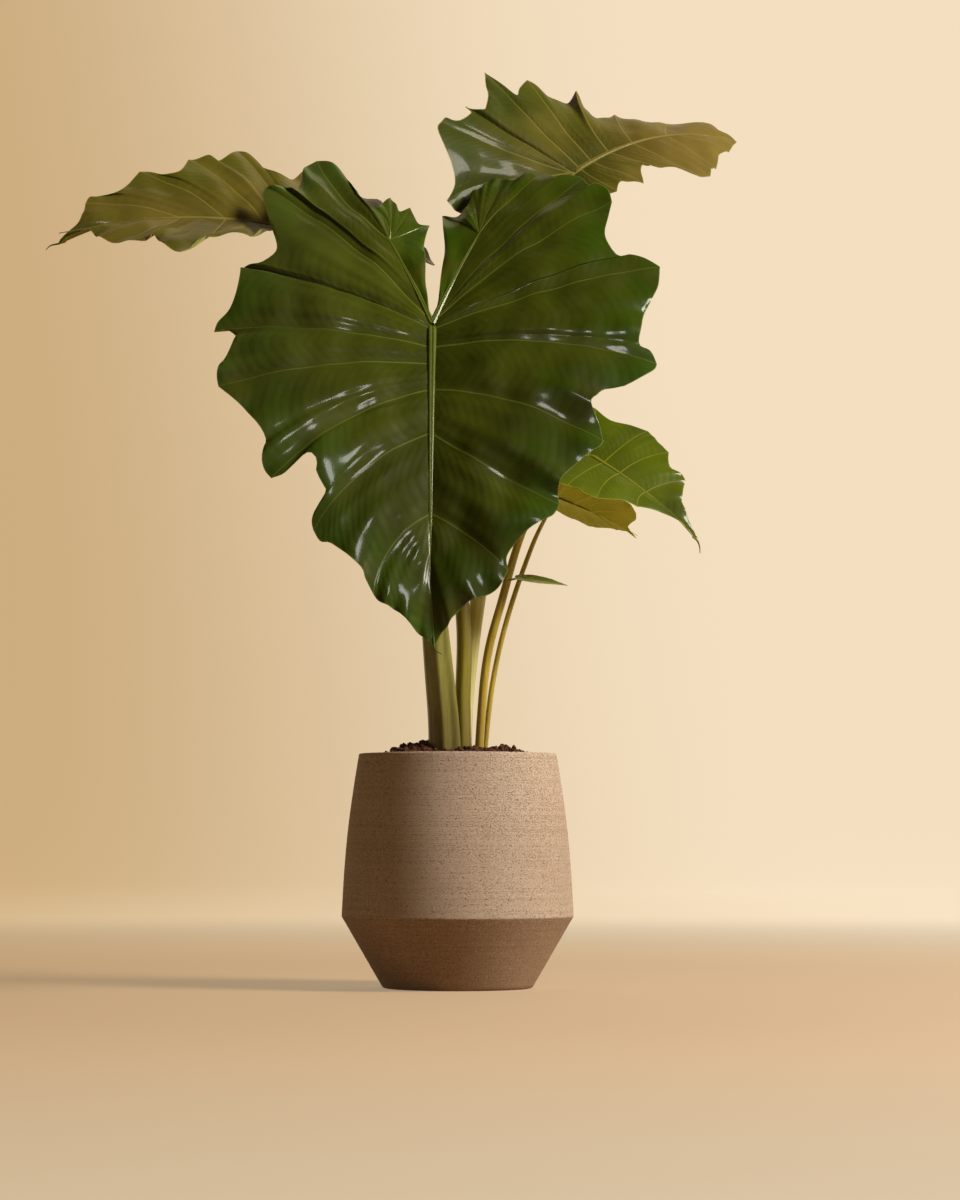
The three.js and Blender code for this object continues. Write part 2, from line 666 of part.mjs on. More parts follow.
// The young leaf, a small pointed blade that leans out from the side of a thin stalk
const youngLeaf = {
  joint: [72, -17, 494],
  turn: [84, -7, 27],
  arch: 6,
  back: 4,
  ease: 400,
  fold: [10, 10],
  open: [0, 0],
  sag: [8, 8],
  rows: 3,
  quilt: 0.8,
  ribRadius: 1.5,
  ribLength: 50,
  collar: 11.3,
  approach: [0.9, -0.35, 0.2],
  halves: [
    [
      vein([0, 38], [0, 62]),
      vein([0, 14], [-10, 28], 1, [[-4, 50], [-8, 40]]),
      vein([0, 0], [-9, 6], 0, [[-11, 16]]),
      vein([0, 0], [-2, -3], 0, [[-6, -2]]),
    ],
    [
      vein([0, 38], [0, 62]),
      vein([0, 14], [10, 28], 1, [[4, 50], [8, 40]]),
      vein([0, 0], [9, 6], 0, [[11, 16]]),
      vein([0, 0], [2, -3], 0, [[6, -2]]),
    ],
  ],
};

// Holes for the stalks: each is the stalk's own lower end, a little wider and longer
function holeFor(leaf) {
  const [first, second] = leaf.stalk;
  const foot = first.slice(0, 2).concat(STALK_FOOT_HEIGHT - HOLE_DEPTH_BELOW_STALK);
  const width = first[3] + HOLE_CLEARANCE;
  const radii = [width, width, second[3] + HOLE_CLEARANCE + 0.6];
  const middle = mixPoint(first.slice(0, 3), second.slice(0, 3), 0.5);
  return solidOf(rod([foot, middle, second.slice(0, 3)], radii, 12, 2));
}

const stalked = [
  ['front', frontLeaf, COLOUR.frontBlade, COLOUR.darkStalk],
  ['left', leftLeaf, COLOUR.leftBlade, COLOUR.paleStalk],
  ['top', topLeaf, COLOUR.topBlade, COLOUR.paleStalk],
  ['right', rightLeaf, COLOUR.rightBlade, COLOUR.paleStalk],
  ['low', lowLeaf, COLOUR.lowBlade, COLOUR.paleStalk],
];

addPiece('pot', potPiece(), COLOUR.stoneware, 0.85);
let soil = soilBody();
stalked.forEach(([, leaf]) => {
  soil = soil.subtract(holeFor(leaf));
});
addPiece('soil', geometryOfSolid(soil), COLOUR.soil, 0.95);
stalked.forEach(([name, leaf, bladeColour, stalkColour]) => {
  addPiece(`petiole_${name}`, stalkPiece(leaf), stalkColour, 0.5);
  addPiece(`blade_${name}`, bladePiece(leaf), bladeColour, 0.35);
});
addPiece('young_leaf', bladePiece(youngLeaf), COLOUR.youngBlade, 0.4);

export default root;
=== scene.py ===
"""Looks of the potted alocasia portodora: a turned stoneware pot of soil, five large leaves on long
stalks and one young leaf. Sizes that shape a piece are in millimetres; meshes are in metres."""
import math

import bmesh
import bpy
import numpy as np
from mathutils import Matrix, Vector


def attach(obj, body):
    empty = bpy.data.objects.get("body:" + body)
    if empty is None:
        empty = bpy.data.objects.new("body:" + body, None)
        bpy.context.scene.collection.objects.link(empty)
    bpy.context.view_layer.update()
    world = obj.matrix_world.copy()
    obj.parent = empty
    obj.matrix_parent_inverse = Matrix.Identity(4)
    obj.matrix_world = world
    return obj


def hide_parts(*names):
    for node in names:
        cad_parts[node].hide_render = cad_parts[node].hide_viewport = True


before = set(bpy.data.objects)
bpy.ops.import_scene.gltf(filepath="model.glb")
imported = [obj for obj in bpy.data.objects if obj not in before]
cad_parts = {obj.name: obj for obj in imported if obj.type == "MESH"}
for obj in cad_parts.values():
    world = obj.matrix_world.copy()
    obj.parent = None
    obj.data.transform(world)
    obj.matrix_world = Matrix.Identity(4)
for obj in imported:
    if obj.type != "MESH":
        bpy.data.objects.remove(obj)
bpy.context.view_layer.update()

bpy.ops.object.select_all(action="DESELECT")

MM = 0.001
FINE_STEPS = 400

# Pot, as turned. The marks are how deep the maker's fingers went, the rings how far apart.
POT_HEIGHT = 282
RIM_RADIUS = 119.5
SHOULDER_RADIUS = 140
SHOULDER_HEIGHT = 86
FOOT_RADIUS = 90
FOOT_HOLLOW = 3.0
WALL = 9
FLOOR = 14
BELLY = 3.6
RIM_ROUND = 1.6
SHOULDER_ROUND = 1.2
SHOULDER_REACH = 2.4
BAND_MARK, BAND_RING = 0.16, 2.6
WALL_MARK, WALL_RING = 0.14, 2.8
INSIDE_HEIGHTS = (265, 235, 200, 165, 130, SHOULDER_HEIGHT + 2, 60, 35, FLOOR + 4)
POT_STEPS = 160

# Soil. A heap is its place x and y, its rise and its spread.
SOIL_EDGE = 271
SOIL_MOUND = 12
SOIL_REACH = 112
SOIL_GAP = 0.6
SOIL_RINGS = 46
SOIL_STEPS = 120
SOIL_SIDE_HEIGHTS = (FLOOR + 6, 60, SHOULDER_HEIGHT, 150, 220, 262)
CRUMBS = 1500
CRUMB_REACH = 107
HEAPS = [(-46, -12, 10, 32), (-22, 10, 9, 30), (57, 6, 8, 24), (20, -34, 5, 26), (30, 50, 7, 36),
         (-40, 50, 6, 34), (78, -8, 3, 20), (-78, 0, 5, 22)]

# Stalks. A groove's widths are angles round the stalk, in radians.
STALK_FOOT = 255
STALK_STATIONS = 90
STALK_RIB_HEIGHT = 0.022
BLUNT_END = 0.3
GROOVE_WIDTH = 0.28
LIP_PLACE, LIP_WIDTH, LIP_SHARE = 0.55, 0.22, 0.35

# Blades
SHEET = 0.8
EDGE_THIN, EDGE_WIDTH = 0.55, 8
COLUMN_EASE = 1.5
VALLEY, RIB_LEAST = 0.28, 0.2
RIB_SUNK = -0.14
FULL_PUFF_WIDTH = 85
SLOW_WAVES = 9
SLOW_WAVE_LENGTHS = (38, 95)
FAR_OFF = 999
WELD_PER_MM = 500

# Ribs, as shares of a leaf's rib size: at the start, where the blade ends, at the tip, on a lobe
RIB_START, RIB_OUT, RIB_TIP, LOBE_RIB = 1.12, 0.24, 0.14, 0.72
RIB_STATIONS, LOBE_STATIONS, DRIP_STATIONS = 9, 6, 18
# What the blade finishes read on a rib: on a vein, a wide one, and far from the margin
RIB_NOTES = [0.0, 9.0, 0.0, 0.0, 99.0]

# Stage, in metres, and the room's brightness as a source and as seen past the floor's edge
STAGE_SIZE = (60, 37)
STAGE_SHIFT = -11.5
COVE, COVE_STEPS = 2.5, 20
BACKDROP_RISE = 14
ROOM_LIGHT = (0.062, 0.036, 0.013)
ROOM_SEEN = (0.70, 0.535, 0.33)

# The Mix node's sockets for colours
MIX_SHARE, MIX_FIRST, MIX_SECOND, MIX_RESULT = 0, 6, 7, 2


# Small helpers for numbers and curves

def mix(a, b, t):
    return a * (1 - t) + b * t


def unit(v):
    v = np.asarray(v, float)
    return v / np.maximum(1e-12, np.linalg.norm(v, axis=-1, keepdims=True))


def smooth_through(points, t):
    """A smooth curve through a short list of points; t runs 0 to 1 from the first to the last."""
    points = np.array(points, float)
    last = len(points) - 1
    span = np.clip(np.asarray(t, float), 0, 1) * last
    i = np.minimum(last - 1, span.astype(int))
    f = (span - i)[..., None]
    before, here = points[np.maximum(0, i - 1)], points[i]
    following, after = points[i + 1], points[np.minimum(last, i + 2)]
    g = f * f * (3 - 2 * f)
    leave = (following - before) / 2 * f * (1 - f) ** 2
    arrive = (after - here) / 2 * f * f * (1 - f)
    return here * (1 - g) + following * g + leave - arrive


def evenly(points, count):
    """The same curve as smooth_through, resampled so that its points lie evenly."""
    t = np.linspace(0, 1, FINE_STEPS)
    fine = smooth_through(points, t)
    run = np.concatenate([[0], np.cumsum(np.linalg.norm(np.diff(fine[:, :3], axis=0), axis=1))])
    return smooth_through(points, np.interp(np.linspace(0, run[-1], count), run, t))


def rounded(corner_points, radius, steps=5):
    """A turned profile with its listed corners rounded; each row is (radius, height, round it)."""
    out = []
    for i, (r, z, soften) in enumerate(corner_points):
        here = np.array([r, z], float)
        if not soften:
            out.append(here)
            continue
        a = np.array(corner_points[i - 1][:2], float)
        b = np.array(corner_points[i + 1][:2], float)
        start, end = here + unit(a - here) * radius, here + unit(b - here) * radius
        for t in np.linspace(0, 1, steps):
            out.append(mix(mix(start, here, t), mix(here, end, t), t))
    return out


# Meshes

def new_piece(name, points, faces, materials, face_material=None, smooth_angle=40, notes=None):
    """A mesh object from points in millimetres; notes are named numbers, one for each point."""
    mesh = bpy.data.meshes.new(name)
    mesh.from_pydata((np.asarray(points) * MM).tolist(), [], faces)
    for material in materials:
        mesh.materials.append(material)
    if face_material is not None:
        mesh.polygons.foreach_set("material_index", np.asarray(face_material, np.int32))
    for note, values in (notes or {}).items():
        attribute = mesh.attributes.new(note, "FLOAT", "POINT")
        attribute.data.foreach_set("value", np.asarray(values, np.float32))
    mesh.update()
    piece = bpy.data.objects.new(name, mesh)
    bpy.context.scene.collection.objects.link(piece)
    smooth(piece, smooth_angle)
    return piece


def only(piece):
    bpy.ops.object.select_all(action="DESELECT")
    piece.select_set(True)
    bpy.context.view_layer.objects.active = piece


def smooth(piece, angle):
    only(piece)
    bpy.ops.object.shade_smooth_by_angle(angle=math.radians(angle))
    piece.select_set(False)


def settle(piece, node):
    """Hang the piece under the root and hide the imported part that it stands for."""
    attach(piece, "root")
    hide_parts(node)


def turned(name, rings, steps):
    """A piece made by extruding a circle up through its rings, closed at the first and the last."""
    first_radius, first_height = rings[0]
    bpy.ops.mesh.primitive_circle_add(
        vertices=steps, radius=first_radius * MM, fill_type="TRIFAN",
        location=(0, 0, first_height * MM))
    piece = bpy.context.object
    piece.name = name
    bpy.ops.object.transform_apply(location=True, rotation=True, scale=True)
    bpy.ops.object.mode_set(mode="EDIT")
    bpy.ops.mesh.select_mode(type="VERT")
    shape = bmesh.from_edit_mesh(piece.data)
    for v in shape.verts:
        v.select = v.co.xy.length > first_radius * MM / 2
    shape.select_flush_mode()
    bmesh.update_edit_mesh(piece.data)
    for (r0, z0), (r1, z1) in zip(rings, rings[1:]):
        bpy.ops.mesh.extrude_region_move(TRANSFORM_OT_translate={"value": (0, 0, (z1 - z0) * MM)})
        grow = r1 / r0
        bpy.ops.transform.resize(value=(grow, grow, 1), center_override=(0, 0, z1 * MM))
    bpy.ops.mesh.extrude_region_move(TRANSFORM_OT_translate={"value": (0, 0, 0)})
    bpy.ops.mesh.merge(type="CENTER")
    bpy.ops.mesh.select_all(action="SELECT")
    bpy.ops.mesh.remove_doubles(threshold=0.00001)
    bpy.ops.mesh.normals_make_consistent(inside=False)
    bpy.ops.object.mode_set(mode="OBJECT")
    return piece


def tube(path, widths, sides, section=None):
    """Rings along a path, closed with a point at each end. Returns points and faces.
    section(angle, share) scales the ring's radius at an angle and a share of the length."""
    path, widths = np.asarray(path, float), np.asarray(widths, float)
    along = unit(np.gradient(path, axis=0))
    start = np.array([0.0, -1.0, 0.0])
    if abs(along[0] @ start) > 0.9:
        start = np.array([1.0, 0.0, 0.0])
    face = start - along[0] * (along[0] @ start)
    angles = np.linspace(0, 2 * math.pi, sides, endpoint=False)
    rings = []
    for i, (at, way) in enumerate(zip(path, along)):
        scale = np.ones(sides) if section is None else section(angles, i / (len(path) - 1))
        ring, face = ring_at(at, way, face, angles, widths[i] * scale)
        rings.append(ring)
    first = path[0] - along[0] * widths[0] * BLUNT_END
    last = path[-1] + along[-1] * widths[-1] * BLUNT_END
    return ring_skin(rings, first, last)


def ring_at(at, way, face, angles, radii):
    """A ring square to way, its angles counted from face. Returns it with the face it used."""
    face = unit(face - way * (way @ face))
    other = np.cross(way, face)
    spokes = np.cos(angles)[:, None] * face + np.sin(angles)[:, None] * other
    return at + radii[:, None] * spokes, face


def ring_skin(rings, first, last):
    """Points and faces of a closed skin over rings of equal count, pointed at first and last."""
    sides = len(rings[0])
    points = np.concatenate([[first], *rings, [last]])
    faces = []
    for k in range(sides):
        n = (k + 1) % sides
        faces.append((0, 1 + n, 1 + k))
        for i in range(len(rings) - 1):
            a = 1 + i * sides
            b = a + sides
            faces.append((a + k, a + n, b + n, b + k))
        top = 1 + (len(rings) - 1) * sides
        faces.append((top + k, top + n, len(points) - 1))
    return points, faces


# Materials. A Flow is a socket that takes + - * / and makes the Math nodes for them.

class Flow:
    def __init__(self, board, socket):
        self.board = board
        self.socket = socket

    def math(self, operation, *rest):
        return self.board.math(operation, self, *rest)

    def __add__(self, other):
        return self.math("ADD", other)

    def __sub__(self, other):
        return self.math("SUBTRACT", other)

    def __mul__(self, other):
        return self.math("MULTIPLY", other)

    def __truediv__(self, other):
        return self.math("DIVIDE", other)

    def __rsub__(self, other):
        return self.board.math("SUBTRACT", other, self)

    __radd__ = __add__
    __rmul__ = __mul__


class Finish:
    """One material and its node tree."""

    def __init__(self, name):
        self.material = bpy.data.materials.new(name)
        self.material.use_nodes = True
        self.tree = self.material.node_tree
        self.shader = self.tree.nodes["Principled BSDF"]
        self.place = self.node("ShaderNodeTexCoord", {}, {}, "Object")

    def node(self, kind, settings, inputs, output=0):
        made = self.tree.nodes.new(kind)
        for key, value in settings.items():
            setattr(made, key, value)
        for key, value in inputs.items():
            self.feed(made.inputs[key], value)
        return Flow(self, made.outputs[output])

    def feed(self, socket, value):
        if isinstance(value, Flow):
            self.tree.links.new(value.socket, socket)
        elif isinstance(value, tuple) and len(value) == 3 and socket.type == "RGBA":
            socket.default_value = (*value, 1)
        else:
            socket.default_value = value

    def math(self, operation, *values):
        inputs = dict(enumerate(values))
        return self.node("ShaderNodeMath", {"operation": operation}, inputs)

    def colour(self, share, a, b):
        inputs = {MIX_SHARE: share, MIX_FIRST: a, MIX_SECOND: b}
        return self.node("ShaderNodeMix", {"data_type": "RGBA"}, inputs, MIX_RESULT)

    def axis(self, letter):
        return self.node("ShaderNodeSeparateXYZ", {}, {0: self.place}, letter)

    def step(self, value, low, high, start=0.0, end=1.0):
        """start where value is below low, end where it is above high, and smooth between."""
        inputs = dict(enumerate((value, low, high, start, end)))
        return self.node("ShaderNodeMapRange", {"interpolation_type": "SMOOTHSTEP"}, inputs)

    def stretched(self, scale):
        return self.node("ShaderNodeMapping", {}, {"Vector": self.place, "Scale": scale})

    def noise(self, scale, detail=3.0, rough=0.5, place=None):
        return self.node("ShaderNodeTexNoise", {}, {
            "Vector": place or self.place, "Scale": scale, "Detail": detail, "Roughness": rough})

    def cells(self, scale):
        return self.node("ShaderNodeTexVoronoi", {}, {"Vector": self.place, "Scale": scale})

    def note(self, name):
        return self.node("ShaderNodeAttribute", {"attribute_name": name}, {}, "Fac")

    def bump(self, height, distance, normal=None):
        inputs = {"Strength": 1.0, "Distance": distance, "Height": height}
        if normal is not None:
            inputs["Normal"] = normal
        return self.node("ShaderNodeBump", {}, inputs)

    def shade(self, **inputs):
        for key, value in inputs.items():
            name = key.replace("_", " ").title().replace("Ior", "IOR")
            self.feed(self.shader.inputs[name], value)
        return self.material


def srgb(red, green, blue):
    """A colour as seen on a screen, 0 to 255, as the light that the shader works with."""
    def light(c):
        c /= 255
        return c / 12.92 if c <= 0.04045 else ((c + 0.055) / 1.055) ** 2.4
    return light(red), light(green), light(blue)


def stoneware_finish():
    """Bare clay: faint turning lines, a fine grain with dark pores and specks, and painted shade
    that makes the band below the shoulder darker.
    """
    f = Finish("stoneware")
    height = f.axis("Z")
    lower = f.step(height, (SHOULDER_HEIGHT - 1) * MM, (SHOULDER_HEIGHT + 0.5) * MM, 1.0, 0.0)
    cloud = f.noise(9.0, 4.0)
    streaks = f.noise(7.0, 4.0, 0.65, f.stretched((1.0, 1.0, 34.0)))
    rings = f.noise(5.0, 2.0, 0.5, f.stretched((0.7, 0.7, 150.0)))
    grain = f.noise(430.0, 3.0, 0.6, f.stretched((1.0, 1.0, 1.7)))
    pores = f.step(f.noise(560.0, 2.0, 0.55, f.stretched((1.0, 1.0, 1.5))), 0.51, 0.64)
    specks = f.step(f.noise(470.0, 1.0), 0.66, 0.72) * f.step(f.noise(110.0, 2.0), 0.44, 0.56)
    upper_tone = f.colour(cloud, srgb(192, 168, 148), srgb(218, 197, 178))
    # painted shade: the band below the shoulder faces down, and its clay is painted darker than the
    # wall above
    shaded_lower_tone = f.colour(cloud, srgb(152, 122, 96), srgb(190, 160, 132))
    base = f.colour(lower, upper_tone, shaded_lower_tone)
    base = f.colour(f.step(streaks, 0.42, 0.66, 0.0, 0.10), base, srgb(150, 120, 92))
    base = f.colour(f.step(rings, 0.45, 0.65, 0.0, 0.12), base, srgb(130, 100, 76))
    base = f.colour(f.step(grain, 0.45, 0.7, 0.0, 0.3), base, srgb(238, 220, 196))
    base = f.colour(pores * f.step(rings, 0.3, 0.65, 0.3, 0.6), base, srgb(108, 82, 60))
    base = f.colour(specks * 0.7, base, srgb(62, 44, 30))
    relief = f.bump(rings * 0.25 + grain * 0.4 - pores * 0.7 - specks, 0.0005)
    return f.shade(base_color=base, roughness=f.step(grain, 0.3, 0.8, 0.74, 0.92), normal=relief)


def soil_finish():
    """Brown potting mix with a few pale flecks."""
    f = Finish("soil")
    clods = f.noise(90.0, 5.0, 0.65)
    flecks = f.step(f.cells(210.0), 0.10, 0.2, 1.0, 0.0)
    base = f.colour(clods, srgb(32, 16, 6), srgb(108, 62, 32))
    base = f.colour(f.step(f.noise(34.0, 2.0), 0.45, 0.7), base, srgb(84, 42, 20))
    base = f.colour(flecks * 0.35, base, srgb(158, 124, 92))
    relief = f.bump(clods + f.noise(420.0, 3.0) * 0.4, 0.0012)
    return f.shade(base_color=base, roughness=0.93, normal=relief)


def stalk_finish(name, dark, light, edge, blush=0.0):
    """A stalk's skin: lengthwise streaks, lighter along its ribs, browner near the soil."""
    f = Finish(name)
    streaks = f.noise(60.0, 4.0, 0.6, f.stretched((1.0, 1.0, 0.05)))
    fine = f.noise(260.0, 3.0, 0.55, f.stretched((1.0, 1.0, 0.08)))
    height = f.axis("Z")
    rib = f.note("rib")
    base = f.colour(f.step(streaks, 0.36, 0.66), dark, light)
    base = f.colour(f.step(fine, 0.45, 0.7, 0.0, 0.35), base, edge)
    base = f.colour(rib * 0.45, base, light)
    base = f.colour(f.step(height, 0.28, 0.40, 0.55, blush), base, edge)
    relief = f.bump(fine + streaks * 0.6, 0.0004)
    return f.shade(base_color=base, roughness=f.step(fine, 0.3, 0.7, 0.34, 0.5), coat_weight=0.15,
                   coat_roughness=0.3, normal=relief)


def blade_pattern(f, spacing):
    """Masks of a blade: the main veins and a halo along them, the fine veins that arch between
    them, the swelling between the fine veins, and the line where fine veins meet."""
    gap, width = f.note("vein_gap"), f.note("vein_width")
    vein = f.step(gap - width, -0.1, 0.55, 1.0, 0.0)
    halo = f.step(gap, 1.0, 16.0, 1.0, 0.0)
    reach, between = f.note("reach"), f.note("between")
    wander = f.noise(20.0, 2.0) * 0.9
    phase = (reach / spacing - between.math("POWER", 0.6) * 2.2 + wander).math("FRACT")
    away = (phase - 0.5).math("ABSOLUTE")
    ridge = f.step(away, 0.36, 0.5) * f.step(between, 0.02, 0.25)
    pillow = f.step(away, 0.0, 0.5, 1.0, 0.0) * f.step(between, 0.0, 0.3)
    middle = f.step(between, 0.9, 1.0)
    return vein, halo, ridge, pillow, middle


def upper_finish(name, deep, fresh, vein_colour, margin_colour, spacing=13.0, gloss=0.36, coat=0.32,
                 sheen=0.0, painted_light_tones=()):
    """A blade's upper side: glossy green, pale veins, and a brighter green out at the margin,
    partly its own colour and partly painted light shining through it. Each painted tone is laid
    over a
    stretch of X, as painted shade, painted light and painted reflection on one side of the blade:
    its start and end, its share at each, and its colour."""
    f = Finish(name)
    vein, halo, ridge, pillow, middle = blade_pattern(f, spacing)
    rim = f.note("rim")
    cloud = f.noise(11.0, 3.0)
    base = f.colour(f.step(cloud, 0.35, 0.68), deep, fresh)
    patch = f.step(f.noise(17.0, 2.0), 0.3, 0.62)
    # partly painted light: the brighter green near the margin stands partly for light shining
    # through it, partly for the margin's own colour
    base = f.colour(f.step(rim, 2.0, 100.0, 0.7, 0.0) * patch, base, margin_colour)
    base = f.colour(ridge * 0.22 + middle * 0.12, base, fresh)
    base = f.colour(halo * 0.12, base, fresh)
    base = f.colour(vein * 0.65, base, vein_colour)
    sideways = f.axis("X")
    # painted light and shade: each tone darkens or pales the blade along X, where light falls on
    # one side of it
    for start, end, first, last, tone in painted_light_tones:
        base = f.colour(f.step(sideways, start, end, first, last), base, tone)
    base = f.colour(f.step(rim, 0.3, 1.6, 0.6, 0.0), base, vein_colour)
    relief = f.bump(f.noise(24.0, 2.0, 0.45) * 2.0 + pillow * 0.15, 0.0009)
    relief = f.bump(f.noise(700.0, 2.0), 0.00008, normal=relief)
    dull = f.step(f.noise(40.0, 3.0), 0.3, 0.7, gloss, gloss + 0.14)
    return f.shade(base_color=base, roughness=dull, specular_ior_level=0.1, coat_weight=coat,
                   coat_roughness=0.12, sheen_weight=sheen, sheen_roughness=0.35,
                   sheen_tint=srgb(255, 214, 150), normal=relief)


def under_finish(name, shade, light, vein_colour, spacing=13.0):
    """A blade's underside: paler and duller, with raised ribs."""
    f = Finish(name)
    vein, _, ridge, _, middle = blade_pattern(f, spacing)
    cloud = f.noise(13.0, 3.0)
    base = f.colour(f.step(cloud, 0.35, 0.68), shade, light)
    base = f.colour(ridge * 0.4 + middle * 0.3, base, vein_colour)
    base = f.colour(vein * 0.85, base, vein_colour)
    relief = f.bump(f.noise(26.0, 3.0) * 1.6 + ridge * 0.35, 0.0008)
    return f.shade(base_color=base, roughness=0.55, specular_ior_level=0.3, normal=relief)


# Pot and soil

def outer_radius(height):
    if height <= SHOULDER_HEIGHT:
        return mix(FOOT_RADIUS, SHOULDER_RADIUS, height / SHOULDER_HEIGHT)
    t = (height - SHOULDER_HEIGHT) / (POT_HEIGHT - SHOULDER_HEIGHT)
    return mix(SHOULDER_RADIUS, RIM_RADIUS, t) + BELLY * math.sin(math.pi * t)


def pot_rings():
    """The pot's profile with faint turning marks: up from the foot, over the rim, down inside."""
    turning = np.random.default_rng(5)
    rings = [(6, FOOT_HOLLOW), (FOOT_RADIUS - 14, FOOT_HOLLOW), (FOOT_RADIUS - 11, 0.6),
             (FOOT_RADIUS - 3, 0.0), (FOOT_RADIUS - 0.6, 0.5), (outer_radius(2.5), 2.5)]
    for z in np.arange(6, SHOULDER_HEIGHT - 3, BAND_RING):
        rings.append((outer_radius(z) - BAND_MARK * turning.random(), z))
    slope = (SHOULDER_RADIUS - FOOT_RADIUS) / SHOULDER_HEIGHT
    above = SHOULDER_HEIGHT + SHOULDER_REACH
    corner = [(SHOULDER_RADIUS - SHOULDER_REACH * slope, SHOULDER_HEIGHT - SHOULDER_REACH, False),
              (SHOULDER_RADIUS, SHOULDER_HEIGHT, True), (outer_radius(above), above, False)]
    rings += [tuple(p) for p in rounded(corner, SHOULDER_ROUND, 4)]
    for z in np.arange(SHOULDER_HEIGHT + 5, POT_HEIGHT - 5, WALL_RING):
        rings.append((outer_radius(z) - WALL_MARK * turning.random(), z))
    inside = RIM_RADIUS - WALL
    lip = [(outer_radius(POT_HEIGHT - 3), POT_HEIGHT - 3, False),
           (RIM_RADIUS - 0.2, POT_HEIGHT, True), (inside, POT_HEIGHT, True),
           (inside + 0.2, POT_HEIGHT - 4, False)]
    rings += [tuple(p) for p in rounded(lip, RIM_ROUND)]
    rings += [(outer_radius(z) - WALL, z) for z in INSIDE_HEIGHTS]
    rings += [(outer_radius(FLOOR) - WALL - 5, FLOOR), (30, FLOOR), (8, FLOOR)]
    return rings


def pot_piece():
    piece = turned("pot_turned", pot_rings(), POT_STEPS)
    smooth(piece, 50)
    piece.data.materials.append(stoneware_finish())
    settle(piece, "pot")


def soil_height(x, y):
    """The soil's top: low at the wall and heaped round the stalks."""
    radius = np.hypot(x, y)
    ground = SOIL_EDGE + SOIL_MOUND * np.clip(1 - (radius / SOIL_REACH) ** 2, 0, 1)
    for hx, hy, rise, spread in HEAPS:
        ground = ground + rise * np.exp(-((x - hx) ** 2 + (y - hy) ** 2) / spread ** 2)
    return ground


def crumb_shape():
    bpy.ops.mesh.primitive_ico_sphere_add(subdivisions=1, radius=1)
    ball = bpy.context.object
    points = np.array([v.co for v in ball.data.vertices])
    faces = [tuple(p.vertices) for p in ball.data.polygons]
    bpy.data.objects.remove(ball, do_unlink=True)
    return points, faces


def turn_matrix(draw):
    """A random turn, from a random unit quaternion."""
    w, x, y, z = unit(draw.normal(size=4))
    return np.array([
        [1 - 2 * (y * y + z * z), 2 * (x * y - z * w), 2 * (x * z + y * w)],
        [2 * (x * y + z * w), 1 - 2 * (x * x + z * z), 2 * (y * z - x * w)],
        [2 * (x * z - y * w), 2 * (y * z + x * w), 1 - 2 * (x * x + y * y)]])


def soil_crumbs(count, stalk_feet):
    """Crumbs and clods strewn over the soil, each a squashed, chipped ball."""
    draw = np.random.default_rng(23)
    shape, shape_faces = crumb_shape()
    points, faces = [], []
    for _ in range(count):
        radius, angle = CRUMB_REACH * math.sqrt(draw.random()), 2 * math.pi * draw.random()
        x, y = radius * math.cos(angle), radius * math.sin(angle)
        size = 1.1 + 3.0 * draw.random() ** 2.2
        spread = np.array([1.25, 1.0, 0.75]) * size
        wobble = 1 + 0.28 * (draw.random((len(shape), 1)) - 0.5)
        body = (shape * wobble * spread) @ turn_matrix(draw).T
        if any(math.hypot(x - fx, y - fy) < fr + size for fx, fy, fr in stalk_feet):
            continue
        z = soil_height(x, y) + size * (draw.random() * 0.7 - 0.1)
        base = len(points) * len(shape)
        points.append(body + (x, y, z))
        faces += [tuple(base + i for i in face) for face in shape_faces]
    return np.concatenate(points), faces


def soil_piece(stalk_feet):
    """The soil, roughened on top, with its crumbs; stalk_feet are kept clear of crumbs."""
    side = [(outer_radius(z) - WALL - SOIL_GAP, z) for z in SOIL_SIDE_HEIGHTS]
    top = [(r, SOIL_EDGE) for r in np.linspace(outer_radius(SOIL_EDGE) - WALL - 1.0, 2, SOIL_RINGS)]
    piece = turned("soil_heaped", [(40, FLOOR + SOIL_GAP)] + side + top, SOIL_STEPS)
    draw = np.random.default_rng(11)
    for v in piece.data.vertices:
        x, y, z = np.array(v.co) / MM
        if z > SOIL_EDGE - 0.5:
            keep = min(1.0, (SOIL_REACH - math.hypot(x, y)) / 12)
            aside, upward = 1.2 * keep, 2.6 * keep
            v.co.x = (x + aside * (draw.random() - 0.5)) * MM
            v.co.y = (y + aside * (draw.random() - 0.5)) * MM
            v.co.z = (soil_height(x, y) + upward * (draw.random() - 0.5)) * MM
    finish = soil_finish()
    piece.data.materials.append(finish)
    points, faces = soil_crumbs(CRUMBS, stalk_feet)
    crumbs = new_piece("soil_crumbs", points, faces, [finish], smooth_angle=20)
    only(piece)
    crumbs.select_set(True)
    bpy.ops.object.join()
    smooth(piece, 50)
    settle(piece, "soil")


# Stalks. Rows are x, y, height and radius, from the soil up.

def stalk_points(leaf):
    """The stalk's line with its radius, to where the blade's collar takes over."""
    way = unit(leaf["approach"])
    joint = np.array(leaf["joint"], float)
    end = joint - way * leaf["collar"]
    before = end - way * leaf["collar"]
    rows = [*leaf["stalk"], (*before, leaf["rib"]), (*end, leaf["rib"])]
    return evenly(rows, STALK_STATIONS)


